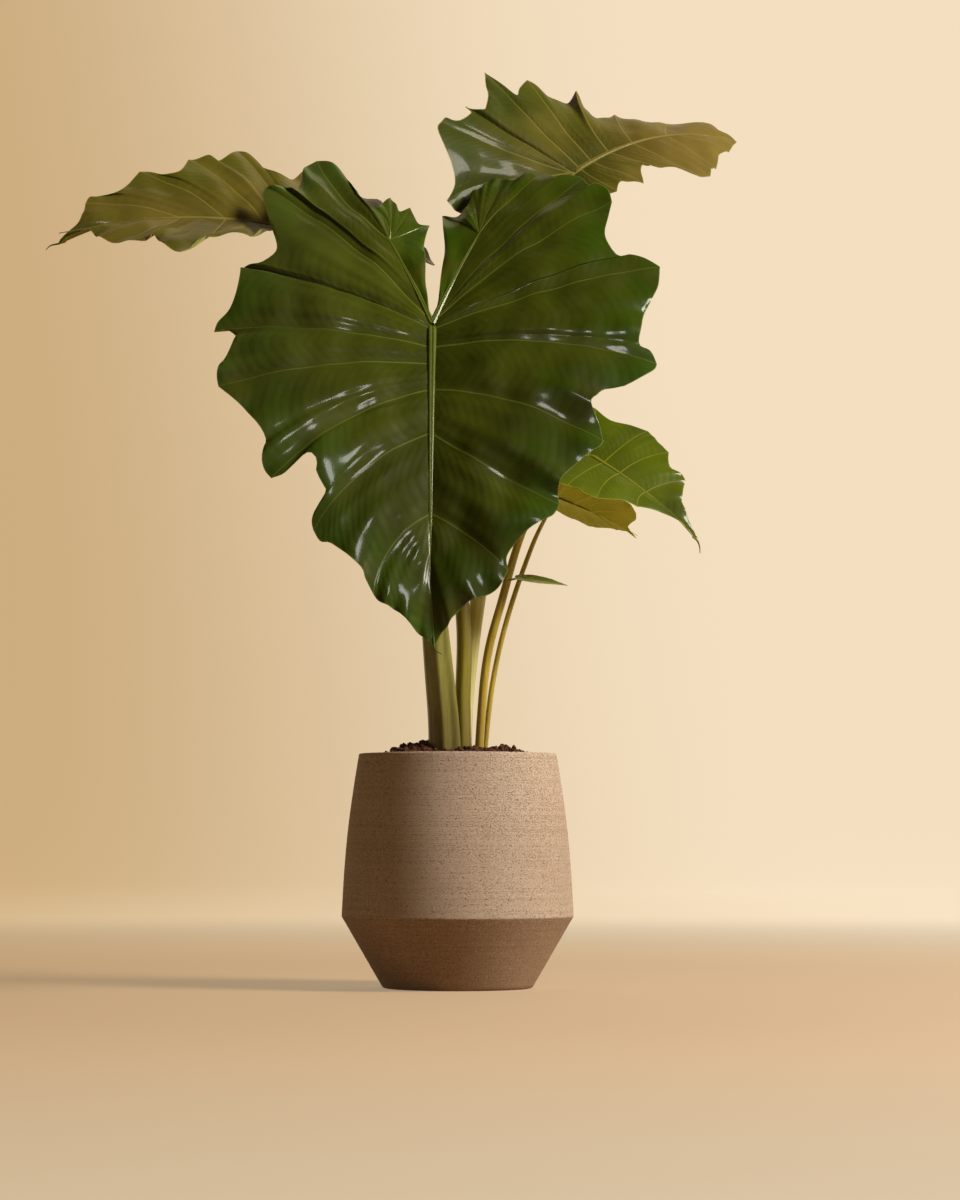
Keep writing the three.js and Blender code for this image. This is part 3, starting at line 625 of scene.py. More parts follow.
def stalk_piece(name, leaf, finish):
    """A stalk with low ribs all round and, where the leaf has one, a groove that fades upward."""
    rows = stalk_points(leaf)
    sides = leaf["stalk_sides"]
    groove, ribs = leaf.get("groove", 0.0), leaf.get("stalk_ribs", 7)

    def section(angle, share):
        shape = 1 + STALK_RIB_HEIGHT * np.cos(ribs * angle)
        away = (angle - leaf.get("groove_turn", 0.6) + math.pi) % (2 * math.pi) - math.pi
        depth = groove * max(0.0, 1 - share * 1.1)
        lips = LIP_SHARE * depth * np.exp(-((np.abs(away) - LIP_PLACE) / LIP_WIDTH) ** 2)
        return shape - depth * np.exp(-(away / GROOVE_WIDTH) ** 2) + lips

    points, faces = tube(rows[:, :3], rows[:, 3], sides, section)
    angles = np.linspace(0, 2 * math.pi, sides, endpoint=False)
    rib_note = np.concatenate([[0], np.tile(0.5 + 0.5 * np.cos(ribs * angles), len(rows)), [0]])
    piece = new_piece(name, points, faces, [finish], smooth_angle=60, notes={"rib": rib_note})
    settle(piece, leaf["stalk_node"])


# Blades. side and along are millimetres on the blade from the point where the stalk meets it,
# along being positive toward the tip.

def blade_axes(leaf):
    heading, droop, roll = (math.radians(a) for a in leaf["turn"])
    forward = np.array([math.sin(heading) * math.cos(droop), -math.cos(heading) * math.cos(droop),
                        math.sin(droop)])
    level = np.array([math.cos(heading), math.sin(heading), 0.0])
    up = np.cross(level, forward)
    up = -up if up[2] < 0 else up
    across = level * math.cos(roll) + up * math.sin(roll)
    normal = up * math.cos(roll) - level * math.sin(roll)
    return forward, across, normal


def blade_surface(leaf, side, along):
    """Points of the blade's middle surface: arched along the midrib, folded and sagging across."""
    side, along = np.broadcast_arrays(np.asarray(side, float), np.asarray(along, float))
    forward, across, normal = blade_axes(leaf)
    reach = np.abs(side)
    right = side >= 0
    per_hundred = np.where(along >= 0, leaf["arch"],
                           leaf["back"] * np.maximum(0, 1 - reach / leaf.get("ease", 520)))
    bend = np.maximum(1e-7, np.radians(per_hundred) / 100)
    turn = bend * along
    opening = leaf.get("open", (0, 0))
    fold = np.radians(np.where(right, leaf["fold"][1], leaf["fold"][0])
                      + np.where(right, opening[1], opening[0]) * along / 100)
    sag = np.radians(np.where(right, leaf["sag"][1], leaf["sag"][0])) / 100
    out = (np.sin(fold) - np.sin(fold - sag * reach)) / sag
    lift = (np.cos(fold - sag * reach) - np.cos(fold)) / sag
    local_up = normal * np.cos(turn)[..., None] + forward * np.sin(turn)[..., None]
    return (np.array(leaf["joint"], float)
            + forward * (np.sin(turn) / bend)[..., None]
            - normal * ((1 - np.cos(turn)) / bend)[..., None]
            + across * (np.sign(side) * out)[..., None]
            + local_up * lift[..., None])


def blade_raised(leaf, side, along, height):
    side, along = np.asarray(side, float), np.asarray(along, float)
    du = blade_surface(leaf, side + 1, along) - blade_surface(leaf, side - 1, along)
    dv = blade_surface(leaf, side, along + 1) - blade_surface(leaf, side, along - 1)
    up = unit(np.cross(du, dv))
    flip = np.sign(up @ blade_axes(leaf)[2])
    return blade_surface(leaf, side, along) + up * (flip * height)[..., None]


def vein(root, end, bow=0, margin=(), strength=1.0):
    """A main vein: its root, its end on the margin (with a curl), how far it bows, and the
    margin's own points that lead up to its end."""
    full = [tuple(p) if len(p) == 3 else (*p, 0) for p in (*margin, end)]
    return {"root": np.array(root, float), "end": full[-1], "bow": bow, "margin": full[:-1],
            "strength": strength}


def panel(before, after, rows, columns):
    """The part of a half between two veins, as a grid of side, along and curl."""
    t = np.linspace(0, 1, columns + 1)
    a = np.where(t < 0.5, 0.5 * (2 * t) ** COLUMN_EASE, 1 - 0.5 * (2 - 2 * t) ** COLUMN_EASE)
    r = np.linspace(0, 1, rows + 1)[:, None]
    base = mix(before["root"], after["root"], a[:, None])
    margin = smooth_through([before["end"], *after["margin"], after["end"]], a)

    def bow_at(v):
        du, dv = v["end"][0] - v["root"][0], v["end"][1] - v["root"][1]
        length = math.hypot(du, dv)
        return np.array([v["bow"] * dv * math.copysign(1, du), -v["bow"] * abs(du)]) / length

    bow = mix(bow_at(before), bow_at(after), a[:, None])
    swell = 4 * r * (1 - r)
    side = mix(base[:, 0], margin[:, 0], r) + swell * bow[:, 0]
    along = mix(base[:, 1], margin[:, 1], r) + swell * bow[:, 1]
    return a, r, side, along, np.broadcast_to(margin[:, 2], side.shape)


def across_distance(side, along, column):
    """How far each point of a grid is from the line of one of its columns."""
    line = np.stack([side[:, column], along[:, column]], axis=1)
    way = unit(np.gradient(line, axis=0))[:, None]
    gap = np.stack([side, along], axis=2) - line[:, None]
    return np.abs(gap[..., 0] * way[..., 1] - gap[..., 1] * way[..., 0])


def slow_waves(leaf, side, along):
    """Gentle unevenness of a blade: a few long waves that cross each other."""
    draw = np.random.default_rng(leaf["seed"] + 7)
    height = np.zeros_like(side)
    for _ in range(SLOW_WAVES):
        length, way = draw.uniform(*SLOW_WAVE_LENGTHS), draw.uniform(0, math.pi)
        phase = 2 * math.pi * (side * math.cos(way) + along * math.sin(way)) / length
        height += np.sin(phase + draw.uniform(0, 2 * math.pi)) * length / SLOW_WAVE_LENGTHS[1]
    return height * leaf["swell"]


def panel_height(leaf, draw, a, r, room):
    """Puff, pleats and margin ripple of a panel; room is 1 on a wide one, less on a narrow one."""
    puff = room ** 2 * leaf["quilt"] * np.sin(math.pi * a) ** 1.5 * r ** 0.8 * (1 - 0.5 * r * r)
    pleats = int(draw.integers(2, 5))
    pleat = 0.5 - 0.5 * np.cos(2 * math.pi * pleats * (a + 0.06 * np.sin(math.pi * r)))
    pleat = pleat * (1 - np.cos(math.pi * a) ** 6) * np.sin(math.pi * r) ** 0.6
    turns, start = int(draw.integers(1, 4)), math.pi * draw.integers(0, 2)
    waves = room ** 1.5 * leaf["ripple"] * np.sin(2 * math.pi * a * turns + start)
    return puff + room ** 2 * leaf["pleat"] * pleat + waves * np.sin(math.pi * a) ** 0.5 * r ** 4


def welded(table, quads, reverse):
    """One table row for each place, and the faces that are left when points that meet are one."""
    keys = np.round(table[:, :2] * WELD_PER_MM).astype(np.int64)
    _, first, same = np.unique(keys, axis=0, return_index=True, return_inverse=True)
    faces = []
    for quad in same.reshape(-1)[quads].tolist():
        face = [p for i, p in enumerate(quad) if p != quad[i - 1]]
        if len(set(face)) >= 3:
            faces.append(tuple(reversed(face)) if reverse else tuple(face))
    return table[first], faces


def blade_half(leaf, half, seed):
    """One half of a blade. Each row of its table is side, along and height, then what the material
    reads: vein_gap, vein_width, reach, between and rim."""
    veins = leaf["halves"][half]
    rows, columns = leaf["rows"], leaf["columns"]
    draw = np.random.default_rng(seed)
    grids, cells = [], []
    count = 0
    for before, after in zip(veins, veins[1:]):
        a, r, side, along, curl = panel(before, after, rows, columns)
        near_before = across_distance(side, along, 0)
        near_after = across_distance(side, along, columns)
        if after is veins[-1]:
            near_after = near_after + FAR_OFF
        gap = np.minimum(near_before, near_after)
        strength = np.where(near_before < near_after, before["strength"], after["strength"])
        width = strength * leaf["vein"] * (0.25 + 0.75 * (1 - r) ** 0.8)
        length = np.hypot(side[-1] - side[0], along[-1] - along[0])
        span = math.hypot(after["end"][0] - before["end"][0], after["end"][1] - before["end"][1])
        height = panel_height(leaf, draw, a, r, min(1.0, span / FULL_PUFF_WIDTH)) + curl * r * r
        height = height + slow_waves(leaf, side, along) * np.minimum(1, 3 * r)
        between = np.broadcast_to(1 - np.abs(2 * a - 1), side.shape)
        values = [side, along, height, gap, np.broadcast_to(width, side.shape), r * length,
                  between, (1 - r) * length]
        grids.append(np.stack(values, axis=2))
        index = np.arange((rows + 1) * (columns + 1)).reshape(rows + 1, columns + 1) + count
        corners = [index[:-1, :-1], index[:-1, 1:], index[1:, 1:], index[1:, :-1]]
        cells.append(np.stack(corners, axis=2).reshape(-1, 4))
        count += index.size
    table = np.concatenate([g.reshape(-1, 8) for g in grids])
    return welded(table, np.concatenate(cells), half == 1)


def point_normals(points, faces):
    """Smooth normals of a mesh of triangles and quads."""
    normals = np.zeros_like(points)
    for size in (3, 4):
        some = np.array([f for f in faces if len(f) == size])
        if len(some) == 0:
            continue
        a, b, c = points[some[:, 0]], points[some[:, 1]], points[some[:, 2]]
        face = np.cross(b - a, c - a)
        if size == 4:
            d = points[some[:, 3]]
            face = np.cross(c - a, d - b)
        for k in range(size):
            np.add.at(normals, some[:, k], face)
    return unit(normals)


def open_edges(faces):
    """The edges that only one face has, in that face's direction."""
    edges = set()
    for face in faces:
        for i, p in enumerate(face):
            edges.add((p, face[(i + 1) % len(face)]))
    return [(p, q) for p, q in edges if (q, p) not in edges]


def closed_half(leaf, half, seed):
    """A half with its thickness: ribs stand out below, veins lie in shallow valleys above, and the
    edge is rounded. Returns points, faces, the side that each face is on and its notes."""
    table, faces = blade_half(leaf, half, seed)
    sheet = blade_raised(leaf, table[:, 0], table[:, 1], table[:, 2])
    normals = point_normals(sheet, faces)
    gap, width, rim = table[:, 3], table[:, 4], table[:, 7]
    rib = np.exp(-(gap / (0.9 + width * 1.1)) ** 2)
    thin = SHEET * (EDGE_THIN + (1 - EDGE_THIN) * np.clip(rim / EDGE_WIDTH, 0, 1))
    top = sheet + normals * (thin / 2 + VALLEY * rib * np.clip(width, 0, 1.2))[:, None]
    under = sheet - normals * (thin / 2 + rib * (RIB_LEAST + width * leaf["rib_depth"]))[:, None]
    edges = open_edges(faces)
    count = len(sheet)
    outward = np.zeros_like(sheet)
    for p, q in edges:
        out = np.cross(sheet[q] - sheet[p], normals[p] + normals[q])
        outward[p] += out
        outward[q] += out
    rim_points = sorted({p for edge in edges for p in edge})
    slot_of = {p: 2 * count + i for i, p in enumerate(rim_points)}
    edge_points = (sheet + unit(outward) * (thin / 2)[:, None])[rim_points]
    skin = list(faces) + [tuple(count + p for p in reversed(face)) for face in faces]
    kind = [0] * len(faces) + [1] * len(faces)
    for p, q in edges:
        skin.append((q, p, slot_of[p], slot_of[q]))
        skin.append((slot_of[q], slot_of[p], count + p, count + q))
        kind += [1, 1]
    points = np.concatenate([top, under, edge_points])
    notes = np.concatenate([table[:, 3:], table[:, 3:], table[rim_points, 3:]])
    return points, skin, kind, notes


def flattened(angle):
    """A rib's section: low and broad above the blade, deep below it."""
    return np.where(np.cos(angle) > 0, 0.5 + 0.5 * np.abs(np.sin(angle)), 1.0)


def rib_tube(leaf, spots, widths, sides=14, count=60, lead=()):
    """A rib along the blade through (side, along) spots, led in by points off the blade."""
    rows = np.array(spots, float)
    on_blade = blade_raised(leaf, rows[:, 0], rows[:, 1], -RIB_SUNK * np.array(widths))
    line = np.concatenate([np.array(lead, float).reshape(-1, 3), on_blade])
    sizes = np.concatenate([[leaf["rib"]] * len(lead), widths])
    even = evenly(np.concatenate([line, sizes[:, None]], axis=1), count)
    path, radii = even[:, :3], even[:, 3]
    along = unit(np.gradient(path, axis=0))
    normal = blade_axes(leaf)[2]
    rings = []
    angles = np.linspace(0, 2 * math.pi, sides, endpoint=False)
    face = unit(normal - along[-1] * (along[-1] @ normal))
    for at, way, radius in reversed(list(zip(path, along, radii))):
        ring, face = ring_at(at, way, face, angles, radius * flattened(angles))
        rings.append(ring)
    rings.reverse()
    return ring_skin(rings, path[0], path[-1] + along[-1] * radii[-1])


def blade_piece(name, leaf, upper, under):
    """Both halves and the ribs as one mesh, the upper finish on its top faces and ribs."""
    points, faces, kinds, notes = [], [], [], []
    count = 0

    def take(some_points, some_faces, some_kinds, some_notes):
        nonlocal count
        points.append(some_points)
        faces.extend(tuple(count + i for i in face) for face in some_faces)
        kinds.extend(some_kinds)
        notes.append(some_notes)
        count += len(some_points)

    for half in (0, 1):
        take(*closed_half(leaf, half, leaf["seed"] + half))
    for rib_points, rib_faces in blade_ribs(leaf):
        rib_notes = np.tile(RIB_NOTES, (len(rib_points), 1))
        take(rib_points, rib_faces, [0] * len(rib_faces), rib_notes)
    table = np.concatenate(notes)
    named = {"vein_gap": table[:, 0], "vein_width": table[:, 1], "reach": table[:, 2],
             "between": table[:, 3], "rim": table[:, 4]}
    piece = new_piece(name, np.concatenate(points), faces, [upper, under], kinds, 42, named)
    settle(piece, leaf["blade_node"])


def blade_ribs(leaf):
    """The midrib with its collar, the ribs of the two lobes, and the drip tip."""
    way = unit(leaf["approach"])
    joint = np.array(leaf["joint"], float)
    seat = joint - way * leaf["collar"]
    lead = [seat, joint - way * leaf["collar"] * 0.45]
    start, end = leaf["rib"] * RIB_START, leaf["rib"] * RIB_TIP
    length = leaf["halves"][0][0]["root"][1]
    tip = mix(np.array([0, length]), np.array(leaf["halves"][0][0]["end"][:2]), 0.96)
    stations = np.linspace(0.03, 1, RIB_STATIONS)
    spots = [(0, s * length) for s in stations] + [tip]
    widths = [mix(start, leaf["rib"] * RIB_OUT, s) for s in stations] + [end]
    yield rib_tube(leaf, spots, widths, lead=lead, count=110)
    for fork in leaf.get("forks", ()):
        shares = np.linspace(0, 1.04, LOBE_STATIONS)
        rows = [mix(np.zeros(2), np.array(fork, float), s) for s in shares]
        shares = np.linspace(0, 1, LOBE_STATIONS)
        widths = [mix(start * LOBE_RIB, leaf["vein"] * 1.1, s) for s in shares]
        yield rib_tube(leaf, rows, widths, 10, 40)
    if "drip" in leaf:
        side, along, height = np.array(leaf["drip"], float).T
        path = evenly(blade_raised(leaf, side, along, height), DRIP_STATIONS)
        yield tube(path, np.linspace(1.5, 0.4, DRIP_STATIONS), 8)


# The leaves, as measured. turn is heading, droop and roll in degrees; fold, open and sag are for
# the left and the right half; a stalk's rows are x, y, height and radius.

FRONT = {
    "joint": (-30, -110, 790), "turn": (0, -60, 0), "arch": 5, "back": 11,
    "drip": [(4, 408, 0), (5, 418, 0), (8, 424, 2), (15, 429, 5)],
    "fold": (12, 12), "sag": (9, 9), "rows": 40, "columns": 28, "quilt": 9.5, "ripple": 3.2,
    "pleat": 1.3, "swell": 0.75, "rib": 5, "vein": 0.85, "rib_depth": 1.5, "seed": 100,
    "collar": 20,
    "approach": (0.04, -0.53, 0.85), "forks": ((-54, -135), (57, -147)),
    "stalk_node": "petiole_front", "blade_node": "blade_front", "stalk_sides": 48,
    "groove": 0.26, "groove_turn": 0.55, "stalk_ribs": 11,
    "stalk": [(-15, -16, STALK_FOOT, 20), (-17, -20, 320, 18.5), (-25, -34, 408, 16.5),
              (-36, -52, 540, 12.5), (-38, -70, 660, 9)],
    "halves": [[
        vein((0, 330), (5, 418)),
        vein((0, 259), (-66, 359), 14, [(-7, 408), (-18, 400), (-35, 382), (-46, 375), (-58, 369)]),
        vein((0, 155), (-135, 284), 15,
             [(-75, 342), (-79, 331), (-93, 317), (-102, 309), (-116, 299), (-127, 297)]),
        vein((0, 96), (-185, 219), 15,
             [(-137, 274), (-135, 263), (-128, 250), (-121, 237), (-127, 225), (-133, 212),
              (-132, 200), (-140, 190), (-150, 194), (-162, 206), (-172, 215)]),
        vein((0, 60), (-251, 94), 6,
             [(-193, 208), (-196, 196), (-194, 180), (-192, 170), (-198, 157), (-211, 138),
              (-221, 124), (-233, 112)]),
        vein((0, 36), (-260, 13), 5,
             [(-253, 82), (-250, 68), (-244, 54), (-235, 34), (-234, 22), (-244, 14)]),
        vein((0, 9), (-231, -88, -6), 3,
             [(-256, -2), (-243, -18), (-235, -40), (-231, -64), (-231, -80)]),
        vein((0, 0), (-208, -230), 5,
             [(-221, -89), (-206, -90), (-191, -103), (-189, -116), (-196, -143),
              (-206, -186), (-211, -213)]),
        vein((-54, -135), (-148, -302), -14,
             [(-198, -232), (-187, -231), (-177, -222), (-170, -220), (-165, -247),
              (-164, -271), (-160, -287)]),
        vein((-54, -135), (-80, -204), 9,
             [(-131, -295), (-117, -279), (-108, -250), (-96, -220), (-88, -207)]),
        vein((-54, -135), (-55, -231), 2, [(-70, -200), (-63, -216)], 0.2),
        vein((-54, -135), (-30, -213), -2, [(-48, -216), (-42, -200)], 0.12),
        vein((-54, -135), (-5, -180), 0, [(-25, -198), (-18, -177)], 0.1),
        vein((0, 0), (-1, -4), 0, [(-10, -150), (-12, -120), (-10, -88), (-8, -54), (-5, -26)], 0),
    ], [
        vein((0, 330), (5, 418)),
        vein((0, 259), (90, 332), 5,
             [(14, 402), (21, 396), (26, 387), (35, 377), (43, 370), (53, 366), (64, 362),
              (76, 355), (83, 347)]),
        vein((0, 155), (149, 254), -4,
             [(88, 318), (93, 307), (104, 294), (116, 283), (131, 274), (142, 267)]),
        vein((0, 96), (201, 172), 12,
             [(148, 244), (148, 233), (153, 221), (164, 208), (181, 191), (196, 181)]),
        vein((0, 36), (268, 58), 10,
             [(199, 161), (197, 149), (189, 131), (187, 121), (194, 113), (203, 103),
              (228, 95), (250, 81), (264, 68)]),
        vein((0, 9), (276, -93), -2,
             [(259, 42), (246, 34), (248, 14), (254, -13), (263, -34), (273, -62)]),
        vein((0, 0), (220, -203), 3,
             [(258, -105), (240, -107), (224, -101), (212, -122), (209, -140), (214, -168)]),
        vein((0, 0), (186, -253), 4, [(216, -228), (203, -238), (192, -235)]),
        vein((57, -147), (139, -270), 4, [(178, -260), (162, -259), (151, -255)]),
        vein((57, -147), (89, -275), 0, [(126, -268), (113, -270), (99, -263)], 0.6),
        vein((57, -147), (48, -254), 0, [(73, -279), (60, -258)], 0.3),
        vein((57, -147), (10, -208), -3, [(42, -214), (35, -197), (21, -199)], 0.15),
        vein((0, 0), (1, -4), 0, [(13, -170), (15, -130), (14, -95), (10, -54), (6, -26)], 0),
    ]],
}

LEFT = {
    "joint": (-173, 80, 928), "turn": (-55, 9.5, -44), "arch": 10.2, "back": 12,
    "drip": [(0, 335, -13), (0, 345, -14), (-3, 354, -19), (-8, 360, -28)],
    "fold": (6, 18), "sag": (5, 2), "rows": 32, "columns": 22, "quilt": 7, "ripple": 3.0,
    "pleat": 1.0, "swell": 0.6, "rib": 4, "vein": 0.75, "rib_depth": 1.3, "seed": 200, "collar": 18,
    "approach": (-0.3, -0.15, 0.94), "forks": ((-48, -105), (30, -75)),
    "stalk_node": "petiole_left", "blade_node": "blade_left", "stalk_sides": 32,
    "stalk": [(7, 8, STALK_FOOT, 10), (6, 9, 340, 9.5), (5, 12, 463, 9), (-30, 34, 620, 7.5),
              (-100, 66, 775, 6)],
    "halves": [[
        vein((0, 250), (0, 345, -14)),
        vein((0, 190), (-42, 298), 6, [(-8, 318), (-22, 306)]),
        vein((0, 132), (-94, 218), 8, [(-51, 290), (-54, 280), (-50, 258), (-66, 241)]),
        vein((0, 80), (-122, 148), 10, [(-96, 203), (-86, 189), (-89, 169)]),
        vein((0, 40), (-158, 72), 6, [(-131, 122), (-131, 103)]),
        vein((0, 14), (-150, -20), 4, [(-150, 54), (-122, 42), (-118, 10)]),
        vein((0, 0), (-165, -90), 0, [(-152, -45), (-146, -62)]),
        vein((-48, -105), (-152, -190), 4, [(-156, -118), (-166, -158)]),
        vein((-48, -105), (-118, -250), 0, [(-148, -216), (-132, -226)]),
        vein((-48, -105), (-64, -196), 0, [(-98, -236), (-86, -208)], 0.7),
        vein((-48, -105), (-34, -160), 0, [(-48, -172)], 0.6),
        vein((0, 0), (-1, -4), 0, [(-26, -134), (-18, -102), (-11, -70), (-7, -40), (-4, -18)], 0),
    ], [
        vein((0, 250), (0, 345, -14)),
        vein((0, 190), (74, 284), 5, [(8, 318), (32, 306), (55, 301)]),
        vein((0, 132), (132, 226), 8, [(80, 254), (79, 243), (112, 240)]),
        vein((0, 80), (92, 132, 6), 4, [(110, 206), (92, 182), (84, 158, 4)]),
        vein((0, 40), (78, 52, 8), 4, [(70, 108, 8), (64, 78, 8)]),
        vein((0, 14), (88, -26, 8), 3, [(78, 26, 8), (76, 0, 8)]),
        vein((0, 0), (86, -70, 8), 0, [(86, -40, 8), (82, -54, 8)]),
        vein((30, -75), (72, -118, 8), 2, [(82, -84, 8), (82, -102, 8)]),
        vein((30, -75), (50, -132), 0, [(62, -130, 4)], 0.7),
        vein((30, -75), (28, -118), 0, [(40, -124)], 0.6),
        vein((0, 0), (1, -4), 0, [(20, -98), (14, -74), (9, -50), (6, -30), (3, -14)], 0),
    ]],
}

TOP = {
    "joint": (145, 130, 1019), "turn": (117, 35, 25), "arch": 15, "back": 2,
    "fold": (-6, 38), "open": (-10, -18), "sag": (10, 0.1), "rows": 32, "columns": 22, "quilt": 7,
    "ripple": 2.6, "pleat": 1.2, "swell": 0.6, "rib": 3.8, "vein": 0.7, "rib_depth": 1.3,
    "seed": 300, "collar": 18,
    "approach": (0.25, -0.1, 0.96), "forks": ((-30, -72), (42, -84)),
    "stalk_node": "petiole_top", "blade_node": "blade_top", "stalk_sides": 32,
    "stalk": [(7, 32, STALK_FOOT, 10.5), (9, 32, 345, 10), (24, 34, 469, 9.5), (52, 54, 640, 7.5),
              (95, 94, 828, 6)],
    "halves": [[
        vein((0, 215), (0, 288)),
        vein((0, 160), (-68, 199), 4, [(-14, 270), (-30, 252), (-38, 228)]),
        vein((0, 102), (-86, 150), 6, [(-70, 186), (-84, 174)]),
        vein((0, 62), (-60, 100), 4, [(-78, 136), (-66, 118)]),
        vein((0, 32), (-78, 50), 3, [(-52, 86), (-50, 72)]),
        vein((0, 12), (-72, 8), 2, [(-68, 34), (-62, 22)]),
        vein((0, 0), (-76, -44, -8), 2, [(-66, -8, -3), (-66, -24, -6)]),
        vein((-30, -72), (-64, -106, -18), 0, [(-74, -66, -12), (-72, -88, -16)]),
        vein((-30, -72), (-44, -124, -18), 0, [(-56, -118, -18)], 0.7),
        vein((-30, -72), (-22, -104, -10), 0, [(-32, -112, -14)], 0.6),
        vein((0, 0), (-1, -4), 0,
             [(-15, -84, -6), (-10, -64, -3), (-7, -44), (-4, -26), (-2, -12)], 0),
    ], [
        vein((0, 215), (0, 288)),
        vein((0, 160), (60, 221, 5), 4, [(14, 278, 9), (32, 274, 16), (46, 252, 12)]),
        vein((0, 102), (90, 150, -6), 6, [(64, 196, -3), (74, 168, -8)]),
        vein((0, 62), (122, 104, 8), 8, [(86, 132, -12), (92, 114, -12), (104, 108, -4)]),
        vein((0, 32), (159, 58), 4, [(116, 92, -9), (122, 70, -6), (142, 64, -2)]),
        vein((0, 12), (184, 12), 2, [(146, 36), (135, 21), (160, 16)]),
        vein((0, 0), (150, -52, -6), 0, [(154, -14), (133, -38)]),
        vein((0, 0), (147, -112), 0, [(138, -58), (136, -84), (148, -100)]),
        vein((42, -84), (66, -174), -5, [(143, -124), (122, -133), (98, -140), (76, -152)]),
        vein((42, -84), (38, -160), 0, [(48, -170)], 0.7),
        vein((42, -84), (14, -124), 0, [(24, -140)], 0.6),
        vein((0, 0), (1, -4), 0, [(12, -104), (10, -80), (8, -54), (5, -30), (3, -14)], 0),
    ]],
}

RIGHT = {
    "joint": (160, -30, 642), "turn": (70, -30, 35), "arch": 12, "back": 8, "ease": 400,
    "drip": [(0, 162, -4), (0, 170, -4), (-2, 177, -6), (-5, 183, -10)],
    "fold": (10, 10), "sag": (8, 8), "rows": 26, "columns": 18, "quilt": 4.5, "ripple": 1.6,
    "pleat": 0.6, "swell": 0.35, "rib": 2.6, "vein": 0.6, "rib_depth": 1.1, "seed": 400,
    "collar": 12,
    "approach": (0.62, -0.1, 0.78),
    "stalk_node": "petiole_right", "blade_node": "blade_right", "stalk_sides": 24,
    "stalk": [(24, 5, STALK_FOOT, 5.4), (34, 2, 387, 5.2), (54, -5, 469, 5), (80, -14, 554, 4.6),
              (112, -22, 600, 3.8)],
    "halves": [[
        vein((0, 125), (0, 170, -4)),
        vein((0, 84), (-36, 92), 4, [(-6, 148), (-10, 128), (-20, 108)]),
        vein((0, 44), (-74, 54), 5, [(-42, 78), (-60, 66)]),
        vein((0, 20), (-84, 18), 3, [(-80, 40), (-80, 30)]),
        vein((0, 0), (-84, -22), 2, [(-88, 4), (-82, -8)]),
        vein((0, 0), (-66, -72), 2, [(-82, -42), (-74, -56)]),
        vein((0, 0), (-28, -84), 0, [(-52, -84), (-40, -84)]),
        vein((0, 0), (-1, -8), 0, [(-15, -62), (-6, -32)], 0),
    ], [
        vein((0, 125), (0, 170, -4)),
        vein((0, 84), (53, 107), 4, [(9, 145), (20, 126), (33, 116)]),
        vein((0, 44), (76, 66), 5, [(58, 98), (56, 80)]),
        vein((0, 20), (86, 28), 3, [(80, 50), (84, 38)]),
        vein((0, 0), (76, -40), 2, [(78, 10), (66, -14)]),
        vein((0, 0), (66, -74), 2, [(76, -54), (70, -64)]),
        vein((0, 0), (28, -86), 0, [(52, -86), (40, -86)]),
        vein((0, 0), (1, -8), 0, [(15, -62), (6, -32)], 0),
    ]],
}

LOW = {
    "joint": (123.4, 40, 598), "turn": (75, -22, -25), "arch": 8, "back": 8, "ease": 400,
    "fold": (8, 8), "sag": (8, 8), "rows": 24, "columns": 16, "quilt": 3, "ripple": 1.2,
    "pleat": 0.4, "swell": 0.25, "rib": 2, "vein": 0.5, "rib_depth": 1.0, "seed": 500, "collar": 9,
    "approach": (0.55, -0.25, 0.8),
    "stalk_node": "petiole_low", "blade_node": "blade_low", "stalk_sides": 20,
    "stalk": [(30, 20, STALK_FOOT, 3.4), (41, 28, 360, 3.3), (60, 34, 447, 3.2),
              (91, 42, 538, 2.8)],
    "halves": [[
        vein((0, 74), (4, 112, -3)),
        vein((0, 46), (-44, 108), 2, [(-4, 98), (-16, 101), (-30, 108)]),
        vein((0, 22), (-60, 72), 3, [(-56, 100), (-58, 86)]),
        vein((0, 0), (-58, 20), 2, [(-64, 52), (-58, 36)]),
        vein((0, 0), (-44, -36), 2, [(-58, -4), (-52, -20)]),
        vein((0, 0), (-14, -46), 0, [(-30, -46)]),
        vein((0, 0), (-1, -8), 0, [(-5, -30)], 0),
    ], [
        vein((0, 74), (4, 112, -3)),
        vein((0, 46), (24, 78), 2, [(10, 99), (15, 90), (21, 82)]),
        vein((0, 22), (50, 42), 3, [(36, 62), (46, 52)]),
        vein((0, 0), (54, 12), 2, [(56, 34), (53, 24)]),
        vein((0, 0), (42, -30), 2, [(52, -4), (46, -18)]),
        vein((0, 0), (14, -46), 0, [(30, -44)]),
        vein((0, 0), (1, -8), 0, [(5, -30)], 0),
    ]],
}

YOUNG = {
    "joint": (72, -17, 494), "turn": (84, -7, 27), "arch": 6, "back": 4, "ease": 400,
    "fold": (10, 10), "sag": (8, 8), "rows": 16, "columns": 12, "quilt": 0.9, "ripple": 0.5,
    "pleat": 0.1, "swell": 0.08, "rib": 1.5, "vein": 0.35, "rib_depth": 0.8, "seed": 600,
    "collar": 11.3,
    "approach": (0.9, -0.35, 0.2), "blade_node": "young_leaf",
    "halves": [[
        vein((0, 38), (0, 62)),
        vein((0, 14), (-10, 28), 1, [(-4, 50), (-8, 40)]),
        vein((0, 0), (-9, 6), 0, [(-11, 16)]),
        vein((0, 0), (-2, -3), 0, [(-6, -2)], 0),
    ], [
        vein((0, 38), (0, 62)),
        vein((0, 14), (10, 28), 1, [(4, 50), (8, 40)]),
        vein((0, 0), (9, 6), 0, [(11, 16)]),
        vein((0, 0), (2, -3), 0, [(6, -2)], 0),
    ]],
}


